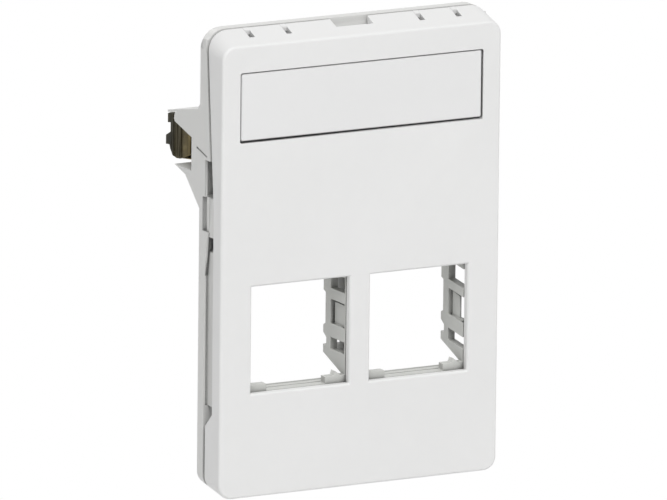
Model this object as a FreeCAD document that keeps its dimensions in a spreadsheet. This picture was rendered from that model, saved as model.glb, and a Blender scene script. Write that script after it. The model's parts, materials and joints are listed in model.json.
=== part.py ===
import FreeCAD, Part
import math
import os
import re

import Sketcher

# Flush twin data outlet: front cover, label, mounting frame, connector carrier and two spreader claws.
# Frame: +X right, +Y into the wall, +Z up. The origin is the middle of the flange's back face.
# "Forward" is the distance towards the room, along -Y, from that face.

# Driving dimensions in millimetres, angles in degrees
SIZES = {
    # Cover shell
    "cover_width": 50.0,
    "cover_height": 75.0,
    "body_depth": 7.4,
    "skirt_depth": 4.9,
    "front_wall": 1.2,
    "skirt_wall": 1.2,
    "top_slope": 1.9,
    "side_draft": 0.1,
    "front_corner": 2.2,
    "rear_corner": 3.3,
    "low_corner": 2.4,
    "front_edge_round": 0.5,
    # Side cut-out of the skirt
    "cutout_depth": 2.7,
    "slope_start": 36.0,
    "slope_end": 9.0,
    "cutout_end": 24.0,
    # Bays
    "bay_margin": 5.65,
    "bay_height": 17.3,
    "bay_gap": 3.7,
    "bay_drop": 20.6,
    "bay_bevel": 0.25,
    # Label field
    "label_width": 43.4,
    "label_height": 11.3,
    "label_margin": 6.2,
    "label_recess": 1.3,
    "label_floor": 0.9,
    "label_gap": 0.25,
    "label_lift": 0.1,
    "window_sink": 0.15,
    "card_thickness": 0.3,
    "label_corner": 0.3,
    "window_bevel": 0.15,
    # Snap tongues, hooks and prying notch on the cover
    "tongue_centre": 15.2,
    "slit_pitch": 6.6,
    "slit_width": 0.9,
    "slit_length": 2.6,
    "hook_width": 4.0,
    "hook_reach": 1.4,
    "hook_length": 1.0,
    "notch_width": 6.6,
    "notch_length": 2.2,
    "notch_sink": 1.3,
    # Mounting frame
    "seam_gap": 0.6,
    "rail_gap": 0.3,
    "fit": 0.2,
    "collar_wall": 1.2,
    "collar_rise": 2.1,
    "plate_gap": 0.1,
    "plate_thickness": 1.4,
    "rim_width": 2.6,
    "rib_thickness": 0.9,
    "rib_high": 30.0,
    "rib_middle": 6.0,
    "rib_low": 29.0,
    "rib_offset": 8.0,
    "rail_inset": 0.7,
    "rail_top": 2.1,
    "rail_low": 23.0,
    "trench_width": 0.8,
    "trench_flare": 0.6,
    "trench_depth": 0.45,
    "block_inset": 0.35,
    "block_length": 1.7,
    "shelf_thickness": 0.8,
    "cheek_end": 16.7,
    "groove_top": 10.7,
    "groove_bottom": 5.2,
    "groove_depth": 0.8,
    "lip_rise": 0.9,
    "lip_end": 2.0,
    # Claw pocket
    "floor_top": 14.0,
    "floor_thickness": 1.0,
    "floor_reach": 8.5,
    "pocket_height": 7.0,
    "roof_rise": 3.55,
    "roof_skin": 0.35,
    "arm_slope": 11.8,
    "arm_fillet": 0.8,
    "arm_reach": 10.9,
    "arm_wall": 1.0,
    "wall_reach": 8.8,
    "wall_round": 0.7,
    "gusset_reach": 4.8,
    "gusset_drop": 5.5,
    "mouth_front": 2.8,
    "mouth_fall": 1.6,
    "crease_reach": 1.1,
    "crease_climb": 1.3,
    "crease_width": 0.35,
    "crease_depth": 0.25,
    # Claw drive
    "swing_gap": 0.4,
    "claw_gap": 0.3,
    "claw_angle": 34.0,
    "claw_sheet": 1.0,
    "claw_eye": 3.0,
    "claw_bend": 11.6,
    "bend_angle": 25.0,
    "tip_length": 2.74,
    "neck_start": 7.6,
    "neck_end": 8.4,
    "neck_rise": 10.6,
    "prong_width": 1.6,
    "prong_sink": 0.65,
    "prong_low": 20.1,
    "tooth_sink": 1.05,
    "tooth_slant": 0.6,
    "tooth_low": 16.6,
    "tooth_high": 18.0,
    "tip_relief": 2.3,
    "ridge_pitch": 0.6,
    "ridge_height": 0.25,
    "pin_diameter": 1.5,
    "pin_play": 0.05,
    "pin_fit": 0.02,
    "screw_diameter": 3.0,
    "screw_play": 0.2,
    "screw_tail": 0.9,
    "thread_play": 0.05,
    "head_diameter": 5.5,
    "head_height": 1.9,
    "head_play": 0.05,
    "head_gap": 0.35,
    "drive_slot_width": 0.8,
    "drive_slot_depth": 1.0,
    "nut_diameter": 4.4,
    "nut_length": 5.0,
    "nut_play": 0.5,
    "nut_gap": 0.15,
    "slot_gap": 0.3,
    # Connector carrier
    "carrier_gap": 0.3,
    "cell_wall": 1.3,
    "cell_rear": 1.5,
    "cell_bar": 1.4,
    "web_top": 6.4,
    "web_low": 8.2,
    "tie_top": 12.1,
    "tie_low": 14.4,
    "cheek_top": 16.3,
    "outer_drop": 0.6,
    "outer_tilt": 0.6,
    "jamb_width": 1.75,
    "front_strip": 0.3,
    "nub_reach": 0.7,
    "nub_sink": 0.35,
    "nub_end": 7.1,
    "cheek_low": 17.3,
    "ledge_depth": 5.6,
    "latch_thickness": 0.6,
    "latch_sink": 0.55,
    "latch_slot": 0.8,
    "latch_gap": 0.4,
    "floor_block": 1.1,
    "block_width": 3.5,
    "block_run": 1.5,
    "fin_width": 2.1,
    "fin_lean": 0.45,
    "fin_height": 0.75,
    "lug_width": 6.0,
    "lug_reach": 2.2,
}

doc = FreeCAD.newDocument("wall_socket")
sheet = doc.addObject("Spreadsheet::Sheet", "Sizes")
for row, (alias, value) in enumerate(SIZES.items(), start=1):
    sheet.set(f"A{row}", alias)
    sheet.set(f"B{row}", str(value))
    sheet.setAlias(f"B{row}", alias)
doc.recompute()


def bind(text):
    """Turn a formula in plain size names into one that reads the sheet."""
    return re.sub(r"[a-z_]+", lambda m: f"Sizes.{m[0]}" if m[0] in SIZES else m[0], text)


def number(text):
    """Value of a formula at the sheet's present sizes."""
    return float(sheet.evalExpression(bind(text)))


def new_body(name):
    """Empty body whose Label names its file."""
    body = doc.addObject("PartDesign::Body", name)
    body.Label = name
    return body


def sketch_on(body, name, plane, offset="0"):
    """Sketch on one of the body's own origin planes, shifted along the plane's normal."""
    sketch = body.newObject("Sketcher::SketchObject", name)
    support = next(f for f in body.Origin.OriginFeatures if f.Role == plane)
    sketch.AttachmentSupport = [(support, "")]
    sketch.MapMode = "FlatFace"
    sketch.setExpression("AttachmentOffset.Base.z", bind(offset))
    return sketch


def pin_down(sketch, kind, geometry, point, formula):
    """Hold one coordinate of a point at a formula."""
    held = Sketcher.Constraint(kind, -1, 1, geometry, point, number(formula))
    index = sketch.addConstraint(held)
    sketch.setExpression(f"Constraints[{index}]", bind(formula))


def polygon(sketch, corners):
    """Closed straight-sided outline through corners given as pairs of formulas."""
    places = [FreeCAD.Vector(number(x), number(y), 0) for x, y in corners]
    first = sketch.GeometryCount
    count = len(places)
    for i, place in enumerate(places):
        sketch.addGeometry(Part.LineSegment(place, places[(i + 1) % count]))
    for i in range(count):
        joined = Sketcher.Constraint("Coincident", first + i, 2, first + (i + 1) % count, 1)
        sketch.addConstraint(joined)
    for i, (x, y) in enumerate(corners):
        pin_down(sketch, "DistanceX", first + i, 1, x)
        pin_down(sketch, "DistanceY", first + i, 1, y)


def rectangle(sketch, left, right, bottom, top):
    """Rectangle between four edge formulas."""
    polygon(sketch, [(left, bottom), (right, bottom), (right, top), (left, top)])


def rounded_rectangle(sketch, left, right, bottom, top, radius, low_radius=None):
    """Rectangle with tangent corner arcs, the two lower ones of another radius where that is given."""
    low_radius = low_radius or radius
    x0, x1, y0, y1, r, q = (number(f) for f in (left, right, bottom, top, radius, low_radius))
    V = FreeCAD.Vector
    first = sketch.GeometryCount
    runs = [
        (V(x0 + q, y0, 0), V(x1 - q, y0, 0)),
        (V(x1, y0 + q, 0), V(x1, y1 - r, 0)),
        (V(x1 - r, y1, 0), V(x0 + r, y1, 0)),
        (V(x0, y1 - r, 0), V(x0, y0 + q, 0)),
    ]
    centres = [V(x1 - q, y0 + q, 0), V(x1 - r, y1 - r, 0), V(x0 + r, y1 - r, 0), V(x0 + q, y0 + q, 0)]
    quarter = math.pi / 2
    for i, size in enumerate((q, r, r, q)):
        sketch.addGeometry(Part.LineSegment(*runs[i]))
        ring = Part.Circle(centres[i], V(0, 0, 1), size)
        sketch.addGeometry(Part.ArcOfCircle(ring, (i - 1) * quarter, i * quarter))
    for i in range(8):
        meeting = Sketcher.Constraint("Tangent", first + i, 2, first + (i + 1) % 8, 1)
        sketch.addConstraint(meeting)
    for i, kind in enumerate(("Horizontal", "Vertical", "Horizontal", "Vertical")):
        sketch.addConstraint(Sketcher.Constraint(kind, first + 2 * i))
    for arc, twin, size, formula in ((1, 7, q, low_radius), (3, 5, r, radius)):
        sketch.addConstraint(Sketcher.Constraint("Equal", first + arc, first + twin))
        index = sketch.addConstraint(Sketcher.Constraint("Radius", first + arc, size))
        sketch.setExpression(f"Constraints[{index}]", bind(formula))
    pin_down(sketch, "DistanceY", first, 1, bottom)
    pin_down(sketch, "DistanceX", first + 2, 1, right)
    pin_down(sketch, "DistanceY", first + 4, 1, top)
    pin_down(sketch, "DistanceX", first + 6, 1, left)


def circle(sketch, x, y, diameter):
    """Circle placed and sized by formulas."""
    place = FreeCAD.Vector(number(x), number(y), 0)
    ring = Part.Circle(place, FreeCAD.Vector(0, 0, 1), number(diameter) / 2)
    index = sketch.addGeometry(ring)
    pin_down(sketch, "DistanceX", index, 3, x)
    pin_down(sketch, "DistanceY", index, 3, y)
    size = sketch.addConstraint(Sketcher.Constraint("Diameter", index, number(diameter)))
    sketch.setExpression(f"Constraints[{size}]", bind(diameter))


def pad(body, sketch, length, backwards=False, both_ways=False):
    """Pad of a sketch, along the plane's normal unless backwards."""
    feature = body.newObject("PartDesign::Pad", f"{sketch.Name}_pad")
    feature.Profile = sketch
    feature.setExpression("Length", bind(length))
    feature.Reversed = backwards
    feature.SideType = "Symmetric" if both_ways else "One side"
    doc.recompute()
    return feature


def pocket(body, sketch, length=None, along_normal=False):
    """Pocket of a sketch against the plane's normal, or right through both ways without a length."""
    before = body.Shape.Volume
    feature = body.newObject("PartDesign::Pocket", f"{sketch.Name}_pocket")
    feature.Profile = sketch
    if length is None:
        feature.Type = "ThroughAll"
        feature.SideType = "Symmetric"
    else:
        feature.setExpression("Length", bind(length))
        feature.Reversed = along_normal
    doc.recompute()
    if body.Shape.Volume >= before:
        raise RuntimeError(f"{feature.Name} cuts nothing")
    return feature


def loft(body, kind, rear, front):
    """Straight loft between two sketches."""
    feature = body.newObject(f"PartDesign::{kind}", f"{rear.Name}_loft")
    feature.Profile = rear
    feature.Sections = [front]
    feature.Ruled = True
    doc.recompute()
    return feature


def edges_where(shape, test):
    """Names of the edges whose every vertex passes a test."""
    names = []
    for i, edge in enumerate(shape.Edges, start=1):
        if all(test(v.Point) for v in edge.Vertexes):
            names.append(f"Edge{i}")
    return names


def round_edges(body, test, radius, name, kind="Fillet"):
    """Fillet or chamfer on the tip's edges that pass a test."""
    base = body.Tip
    feature = body.newObject(f"PartDesign::{kind}", name)
    feature.Base = (base, edges_where(base.Shape, test))
    feature.setExpression("Radius" if kind == "Fillet" else "Size", bind(radius))
    doc.recompute()
    return feature


def near(value, target):
    """Whether two lengths agree within a hundredth of a millimetre."""
    return abs(value - target) < 0.01


# Formulas that several pieces share
HALF_WIDTH = "cover_width / 2"
HALF_HEIGHT = "cover_height / 2"
SKIRT_EDGE = "(body_depth - skirt_depth)"
BAY_INNER = "bay_gap / 2"
BAY_OUTER = "(cover_width / 2 - bay_margin)"
BAY_TOP = "(bay_height - bay_drop)"
LABEL_TOP = "(cover_height / 2 - label_margin)"
LABEL_BOTTOM = "(cover_height / 2 - label_margin - label_height)"
COLLAR_INSET = "(skirt_wall + fit)"
COLLAR_TOP = "(cover_height / 2 - skirt_wall - fit - top_slope * collar_rise / skirt_depth)"
STEP_END = "(cutout_end + skirt_depth - cutout_depth)"
FLANGE = "(body_depth - skirt_depth - seam_gap)"
PLATE_FRONT = "(body_depth - skirt_depth - plate_gap)"
PLATE_BACK = "(body_depth - skirt_depth - plate_gap - plate_thickness)"

# Places of the claw pocket and its drive
CEILING = "(floor_top + pocket_height)"
ARM_TOP = "(floor_top + pocket_height + roof_rise)"
ROOF = f"({ARM_TOP} - arm_reach * tan(arm_slope) - roof_skin)"
SCREW_X = f"({HALF_WIDTH} - {COLLAR_INSET} - collar_wall - head_gap - head_diameter / 2)"
SCREW_Z = "(floor_top + nut_play + nut_length / 2)"
LEVER = "(claw_eye / 2 + swing_gap + screw_diameter / 2)"
PIVOT_X = f"({SCREW_X} - {LEVER})"
PIVOT_Y = f"(claw_eye / 2 + swing_gap - {PLATE_BACK})"
ARM_WIDTH = f"({HALF_WIDTH} - {PIVOT_X} + claw_eye / 2 + swing_gap + arm_wall)"
NUT_CLEAR = "(nut_diameter / 2 + claw_sheet / 2 + nut_gap)"
NUT_Y = f"({PIVOT_Y} + ({NUT_CLEAR} + {LEVER} * cos(claw_angle)) / sin(claw_angle))"
PIN_LOW = "(floor_top - floor_thickness)"
PIN_HIGH = "(floor_top + pocket_height + floor_thickness)"
SIDES = (("left", -1), ("right", 1))


def build_cover():
    """Front cover: tapered shell with bays, label field, snap tongues and skirt cut-outs."""
    body = new_body("front_cover")
    rear = sketch_on(body, "cover_rear", "XZ_Plane", SKIRT_EDGE)
    rounded_rectangle(
        rear, f"-{HALF_WIDTH}", HALF_WIDTH, f"-{HALF_HEIGHT}", HALF_HEIGHT, "rear_corner", "low_corner"
    )
    front = sketch_on(body, "cover_front", "XZ_Plane", "body_depth")
    rounded_rectangle(
        front,
        f"-{HALF_WIDTH} + side_draft",
        f"{HALF_WIDTH} - side_draft",
        f"-{HALF_HEIGHT} + side_draft",
        f"{HALF_HEIGHT} - top_slope",
        "front_corner",
    )
    loft(body, "AdditiveLoft", rear, front)
    face = -number("body_depth")
    round_edges(body, lambda p: near(p.y, face), "front_edge_round", "cover_edge")

    # Hollow with the same taper, one skirt wall in
    inner_share = "(skirt_depth - front_wall) / skirt_depth"
    hollow_rear = sketch_on(body, "hollow_rear", "XZ_Plane", SKIRT_EDGE)
    rounded_rectangle(
        hollow_rear,
        f"-{HALF_WIDTH} + skirt_wall",
        f"{HALF_WIDTH} - skirt_wall",
        f"-{HALF_HEIGHT} + skirt_wall",
        f"{HALF_HEIGHT} - skirt_wall",
        "rear_corner - skirt_wall",
        "low_corner - skirt_wall",
    )
    hollow_front = sketch_on(body, "hollow_front", "XZ_Plane", "body_depth - front_wall")
    rounded_rectangle(
        hollow_front,
        f"-{HALF_WIDTH} + skirt_wall + side_draft * {inner_share}",
        f"{HALF_WIDTH} - skirt_wall - side_draft * {inner_share}",
        f"-{HALF_HEIGHT} + skirt_wall + side_draft * {inner_share}",
        f"{HALF_HEIGHT} - skirt_wall - top_slope * {inner_share}",
        "front_corner - skirt_wall",
    )
    loft(body, "SubtractiveLoft", hollow_rear, hollow_front)

    # Tray behind the label field, then the field itself
    tray = sketch_on(body, "label_tray", "XZ_Plane", "body_depth - label_recess - label_floor")
    rectangle(
        tray,
        "-label_width / 2 - label_floor",
        "label_width / 2 + label_floor",
        f"{LABEL_BOTTOM} - label_floor",
        f"{LABEL_TOP} + label_floor",
    )
    pad(body, tray, "label_recess + label_floor - front_wall / 2")
    field = sketch_on(body, "label_field", "XZ_Plane", "body_depth")
    rounded_rectangle(
        field,
        "-label_width / 2",
        "label_width / 2",
        LABEL_BOTTOM,
        LABEL_TOP,
        "label_corner",
    )
    pocket(body, field, "label_recess")

    # Bay openings
    bays = sketch_on(body, "cover_bays", "XZ_Plane", "body_depth")
    rectangle(bays, f"-{BAY_OUTER}", f"-{BAY_INNER}", "-bay_drop", BAY_TOP)
    rectangle(bays, BAY_INNER, BAY_OUTER, "-bay_drop", BAY_TOP)
    pocket(body, bays, "front_wall + fit")

    def bay_rim(p):
        """Whether a point lies on the front rim of a bay."""
        return near(p.y, face) and abs(p.x) < number(BAY_OUTER) + 0.1 and p.z < number(BAY_TOP) + 0.1 and (
            p.z > number("-bay_drop") - 0.1
        )

    round_edges(body, bay_rim, "bay_bevel", "bay_edge", "Chamfer")

    # Hooks inside the top and bottom walls
    for label, wall in (("top", 1), ("bottom", -1)):
        hooks = sketch_on(body, f"{label}_hooks", "XZ_Plane", SKIRT_EDGE)
        for sign in ("-", ""):
            middle = f"{sign}tongue_centre"
            root = f"{wall} * ({HALF_HEIGHT} - skirt_wall / 2)"
            tip = f"{wall} * ({HALF_HEIGHT} - skirt_wall - hook_reach)"
            low, high = (tip, root) if wall > 0 else (root, tip)
            rectangle(hooks, f"{middle} - hook_width / 2", f"{middle} + hook_width / 2", low, high)
        pad(body, hooks, "hook_length")

    # Slits beside the tongues, open at the rear edge
    slits = sketch_on(body, "tongue_slits", "XZ_Plane", SKIRT_EDGE)
    for sign in ("-", ""):
        for way in ("-", "+"):
            middle = f"{sign}tongue_centre {way} slit_pitch / 2"
            rectangle(
                slits,
                f"{middle} - slit_width / 2",
                f"{middle} + slit_width / 2",
                f"{HALF_HEIGHT} - top_slope - skirt_wall",
                f"{HALF_HEIGHT} + skirt_wall",
            )
    pocket(body, slits, "slit_length", along_normal=True)

    # Shallow prying notch in the middle of the top
    notch = sketch_on(body, "prying_notch", "XZ_Plane", SKIRT_EDGE)
    rectangle(
        notch,
        "-notch_width / 2",
        "notch_width / 2",
        f"{HALF_HEIGHT} - notch_sink",
        f"{HALF_HEIGHT} + notch_sink",
    )
    pocket(body, notch, "notch_length", along_normal=True)

    # Long cut-out along the rear edge of both side skirts
    cutout = sketch_on(body, "skirt_cutout", "YZ_Plane")
    polygon(
        cutout,
        [
            (f"-{SKIRT_EDGE}", "slope_start"),
            ("-(body_depth - cutout_depth)", "slope_end"),
            ("-(body_depth - cutout_depth)", "-cutout_end"),
            (f"-{SKIRT_EDGE}", f"-{STEP_END}"),
        ],
    )
    pocket(body, cutout)
    return body


def build_label():
    """Card on the floor of the label field, and the clear window over it."""
    card = doc.addObject("Part::Box", "label_card")
    card.Label = "label_card"
    card.setExpression("Length", bind("label_width - 4 * label_gap"))
    card.setExpression("Width", bind("card_thickness"))
    card.setExpression("Height", bind("label_height - 4 * label_gap"))
    card.setExpression("Placement.Base.x", bind("-label_width / 2 + 2 * label_gap"))
    card.setExpression("Placement.Base.y", bind("label_recess - body_depth - card_thickness"))
    card.setExpression("Placement.Base.z", bind(f"{LABEL_BOTTOM} + 2 * label_gap"))

    window = new_body("label_window")
    plate = sketch_on(window, "window_plate", "XZ_Plane", "body_depth - label_recess + card_thickness")
    rounded_rectangle(
        plate,
        "-label_width / 2 + label_gap",
        "label_width / 2 - label_gap",
        f"{LABEL_BOTTOM} + label_gap + label_lift",
        f"{LABEL_TOP} - label_gap + label_lift",
        "label_corner",
    )
    pad(window, plate, "label_recess - card_thickness - window_sink")
    face = number("window_sink - body_depth")
    round_edges(window, lambda p: near(p.y, face), "window_bevel", "window_edge", "Chamfer")
    return card, window


def build_frame():
    """Mounting frame: flange, collar, cross plate, side rails and two claw pockets."""
    body = new_body("mounting_frame")
    flange = sketch_on(body, "flange", "XZ_Plane")
    rounded_rectangle(
        flange, f"-{HALF_WIDTH}", HALF_WIDTH, f"-{HALF_HEIGHT}", HALF_HEIGHT, "rear_corner", "low_corner"
    )
    pad(body, flange, FLANGE)

    # Collar that the cover slips over, hollowed from the front down to the cross plate
    collar = sketch_on(body, "collar", "XZ_Plane")
    rounded_rectangle(
        collar,
        f"-{HALF_WIDTH} + {COLLAR_INSET}",
        f"{HALF_WIDTH} - {COLLAR_INSET}",
        f"-{HALF_HEIGHT} + {COLLAR_INSET}",
        COLLAR_TOP,
        "rear_corner - skirt_wall",
        "low_corner - skirt_wall",
    )
    pad(body, collar, f"{SKIRT_EDGE} + collar_rise")
    hollow = sketch_on(body, "collar_hollow", "XZ_Plane", PLATE_FRONT)
    rounded_rectangle(
        hollow,
        f"-{HALF_WIDTH} + {COLLAR_INSET} + collar_wall",
        f"{HALF_WIDTH} - {COLLAR_INSET} - collar_wall",
        f"-{HALF_HEIGHT} + {COLLAR_INSET} + collar_wall",
        f"{COLLAR_TOP} - collar_wall",
        "rear_corner - skirt_wall - collar_wall / 2",
    )
    pocket(body, hollow, f"{SKIRT_EDGE} + collar_rise - {PLATE_FRONT}", along_normal=True)

    # Back of the cross plate, inside the rim
    back = sketch_on(body, "plate_back", "XZ_Plane")
    rounded_rectangle(
        back,
        f"-{HALF_WIDTH} + rim_width",
        f"{HALF_WIDTH} - rim_width",
        f"-{HALF_HEIGHT} + rim_width",
        f"{HALF_HEIGHT} - rim_width",
        "rear_corner - skirt_wall",
    )
    pocket(body, back, PLATE_BACK, along_normal=True)

    # Window for the connector carrier
    window = sketch_on(body, "carrier_window", "XZ_Plane")
    rectangle(
        window,
        f"-{HALF_WIDTH} + {COLLAR_INSET}",
        f"{HALF_WIDTH} - {COLLAR_INSET}",
        "-bay_drop - cell_bar - 2 * fit",
        f"{BAY_TOP} + cell_bar + fit",
    )
    pocket(body, window)

    # Stiffening ribs on the back of the plate, level with the flange
    half_rib = "rib_thickness / 2"
    reach = f"({HALF_WIDTH} - rim_width / 2)"
    for label, level in (("upper", "rib_high"), ("middle", "rib_middle"), ("lower", "-rib_low")):
        ribs = sketch_on(body, f"{label}_rib", "XZ_Plane")
        rectangle(ribs, f"-{reach}", reach, f"{level} - {half_rib}", f"{level} + {half_rib}")
        pad(body, ribs, f"{PLATE_BACK} + plate_thickness / 2")
    for label, place in (("left", "-rib_offset"), ("right", "rib_offset")):
        ribs = sketch_on(body, f"{label}_upright_rib", "XZ_Plane")
        rectangle(
            ribs,
            f"{place} - {half_rib}",
            f"{place} + {half_rib}",
            "rib_middle",
            f"{HALF_HEIGHT} - rim_width / 2",
        )
        pad(body, ribs, f"{PLATE_BACK} + plate_thickness / 2")

    # Catches for the cover's hooks in the top and bottom collar walls
    catches = sketch_on(body, "hook_catches", "XY_Plane")
    for sign in ("-", ""):
        middle = f"{sign}tongue_centre"
        rectangle(
            catches,
            f"{middle} - hook_width / 2 - fit",
            f"{middle} + hook_width / 2 + fit",
            f"-{SKIRT_EDGE} - hook_length - fit",
            f"-{SKIRT_EDGE}",
        )
    pocket(body, catches)

    # Collar opened behind the slits of the tongues
    relief = sketch_on(body, "slit_relief", "XY_Plane", f"{COLLAR_TOP} - collar_wall")
    for sign in ("-", ""):
        for way in ("-", "+"):
            middle = f"{sign}tongue_centre {way} slit_pitch / 2"
            rectangle(
                relief,
                f"{middle} - slit_width / 2",
                f"{middle} + slit_width / 2",
                f"-{SKIRT_EDGE} - slit_length",
                f"-{SKIRT_EDGE}",
            )
    pocket(body, relief, "2 * collar_wall", along_normal=True)

    slope = "(skirt_depth - cutout_depth) / (slope_start - slope_end)"
    for name, side in SIDES:
        outer = f"{side} * {HALF_WIDTH}"
        inner_rail = f"{side} * ({HALF_WIDTH} - rail_inset)"

        # Cheek that follows the sloping seam above the claw pocket
        cheek = sketch_on(body, f"{name}_cheek", "YZ_Plane", outer)
        cheek_tip = f"(body_depth - cutout_depth - {slope} * (cheek_end - slope_end) - seam_gap)"
        polygon(
            cheek,
            [
                (f"-{FLANGE} / 2", "cheek_end"),
                (f"-{cheek_tip}", "cheek_end"),
                (f"-{FLANGE}", f"slope_start - seam_gap / {slope}"),
                (f"-{FLANGE} / 2", f"slope_start - seam_gap / {slope}"),
            ],
        )
        pad(body, cheek, COLLAR_INSET, backwards=side > 0)

        # Inner rail that shows through the skirt cut-out, with a trench along the flange
        rail = sketch_on(body, f"{name}_rail", "YZ_Plane", inner_rail)
        rail_tip = "(body_depth - cutout_depth - rail_gap)"
        rectangle(rail, f"-{rail_tip}", f"-{FLANGE} / 2", "-rail_low", "rail_top")
        pad(body, rail, f"{COLLAR_INSET} - rail_inset", backwards=side > 0)
        trench = sketch_on(body, f"{name}_trench", "YZ_Plane", inner_rail)
        polygon(
            trench,
            [
                (f"-{FLANGE}", "rail_top"),
                (f"-{FLANGE} - trench_width - trench_flare", "rail_top"),
                (f"-{FLANGE} - trench_width - trench_flare", "-lip_end / 2"),
                (f"-{FLANGE} - trench_width", "-4 * lip_end"),
                (f"-{FLANGE} - trench_width", "-rail_low"),
                (f"-{FLANGE}", "-rail_low"),
            ],
        )
        pocket(body, trench, "trench_depth", along_normal=side < 0)

        # Block beside the groove, on a shelf that joins it to the flange
        block = sketch_on(body, f"{name}_block", "YZ_Plane", f"{side} * ({HALF_WIDTH} - block_inset)")
        polygon(
            block,
            [
                (f"-{rail_tip} + block_length", "groove_top"),
                (f"-{rail_tip} + {slope} * (groove_top - slope_end)", "groove_top"),
                (f"-{rail_tip}", "slope_end"),
                (f"-{rail_tip}", "groove_bottom - shelf_thickness"),
                (f"-{FLANGE} / 2", "groove_bottom - shelf_thickness"),
                (f"-{FLANGE} / 2", "groove_bottom"),
                (f"-{rail_tip} + block_length", "groove_bottom"),
            ],
        )
        pad(body, block, f"{COLLAR_INSET} - block_inset", backwards=side > 0)

        # Lip on the flange below the groove
        lip = sketch_on(body, f"{name}_lip", "YZ_Plane", outer)
        polygon(
            lip,
            [
                (f"-{FLANGE} / 2", "groove_bottom"),
                (f"-{FLANGE} - lip_rise", "groove_bottom"),
                (f"-{FLANGE} - lip_rise / 2", "groove_bottom / 4"),
                (f"-{FLANGE}", "-lip_end"),
                (f"-{FLANGE} / 2", "-lip_end"),
            ],
        )
        pad(body, lip, "rail_inset", backwards=side > 0)

        # Groove in the flange's front edge above the lip
        groove = sketch_on(body, f"{name}_groove", "YZ_Plane", outer)
        polygon(
            groove,
            [
                (f"-{FLANGE}", "groove_bottom"),
                (f"-{FLANGE} + groove_depth", "groove_bottom"),
                (f"-{FLANGE} + groove_depth", "groove_top"),
                (f"-{FLANGE}", "groove_top"),
            ],
        )
        pocket(body, groove, COLLAR_INSET, along_normal=side < 0)

        build_claw_pocket(body, name, side, outer)
    return body


def build_claw_pocket(body, name, side, outer):
    """Open-backed pocket that stands back from the flange and carries one claw."""
    arm = sketch_on(body, f"{name}_arm", "YZ_Plane", outer)
    roof_tip = f"({ARM_TOP} - arm_reach * tan(arm_slope))"
    gusset_end = "floor_top - gusset_drop"
    polygon(
        arm,
        [
            (f"-{FLANGE} / 2", f"{ARM_TOP} + arm_fillet"),
            ("0", f"{ARM_TOP} + arm_fillet"),
            ("arm_fillet", f"{ARM_TOP} - arm_fillet * tan(arm_slope)"),
            ("arm_reach", roof_tip),
            ("arm_reach", f"{CEILING} - wall_round"),
            ("floor_reach", f"{CEILING} - wall_round"),
            ("floor_reach", "floor_top"),
            ("gusset_reach", PIN_LOW),
            ("0", gusset_end),
            (f"-{FLANGE} / 2", gusset_end),
        ],
    )
    pad(body, arm, ARM_WIDTH, backwards=side > 0)

    def under_roof(reach):
        """Point on the underside of the roof's skin, at a distance behind the flange."""
        return reach, f"{ARM_TOP} - ({reach}) * tan(arm_slope) - roof_skin"

    # Cavity, open to the back, with a solid block above the hinge
    inside = f"{side} * ({HALF_WIDTH} - arm_wall)"
    past_tip = "arm_reach + arm_wall"
    block_end = f"{PIVOT_Y} + claw_eye"
    cavity = sketch_on(body, f"{name}_cavity", "YZ_Plane", inside)
    polygon(
        cavity,
        [
            (f"-{PLATE_BACK}", "floor_top"),
            (past_tip, "floor_top"),
            under_roof(past_tip),
            under_roof(block_end),
            (block_end, CEILING),
            (f"-{PLATE_BACK}", CEILING),
        ],
    )
    pocket(body, cavity, f"{ARM_WIDTH} - 2 * arm_wall", along_normal=side < 0)

    # Hollow under the floor leaves a gusset wall on each side
    under = sketch_on(body, f"{name}_under_floor", "YZ_Plane", inside)
    polygon(
        under,
        [
            (f"-{PLATE_BACK}", PIN_LOW),
            (f"-{PLATE_BACK}", f"{gusset_end} - floor_thickness"),
            ("gusset_reach", f"{gusset_end} - floor_thickness"),
            ("gusset_reach", PIN_LOW),
        ],
    )
    pocket(body, under, f"{ARM_WIDTH} - 2 * arm_wall", along_normal=side < 0)

    # Mouth in the outer wall that lets the claw swing out
    mouth = sketch_on(body, f"{name}_mouth", "YZ_Plane", outer)
    polygon(
        mouth,
        [
            ("mouth_front", "floor_top"),
            (past_tip, "floor_top"),
            under_roof(past_tip),
            under_roof("wall_reach - 2 * wall_round"),
            ("wall_reach - wall_round / 2", f"{CEILING} + 2 * wall_round"),
            ("wall_reach", f"{CEILING} + wall_round / 2"),
            ("wall_reach - wall_round / 3", f"{CEILING} - wall_round / 6"),
            ("mouth_front", f"{CEILING} - mouth_fall"),
        ],
    )
    pocket(body, mouth, "arm_wall", along_normal=side < 0)

    # Fine crease across the outer wall, down to the end of the cheek
    crease = sketch_on(body, f"{name}_crease", "YZ_Plane", outer)
    polygon(
        crease,
        [
            ("crease_reach", "cheek_end + crease_climb"),
            ("crease_reach", "cheek_end + crease_climb + crease_width"),
            (f"-{SKIRT_EDGE}", "cheek_end + 2 * crease_width"),
            (f"-{SKIRT_EDGE}", "cheek_end + crease_width"),
        ],
    )
    pocket(body, crease, "crease_depth", along_normal=side < 0)

    # Bore for the screw and seats for the hinge pin
    bore = sketch_on(body, f"{name}_screw_bore", "XZ_Plane")
    circle(bore, f"{side} * {SCREW_X}", SCREW_Z, "screw_diameter + 2 * screw_play")
    pocket(body, bore)
    seat = sketch_on(body, f"{name}_pin_seat", "XY_Plane", PIN_LOW)
    circle(seat, f"{side} * {PIVOT_X}", PIVOT_Y, "pin_diameter + 2 * pin_fit")
    pocket(body, seat, f"{PIN_HIGH} - {PIN_LOW}", along_normal=True)


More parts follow.
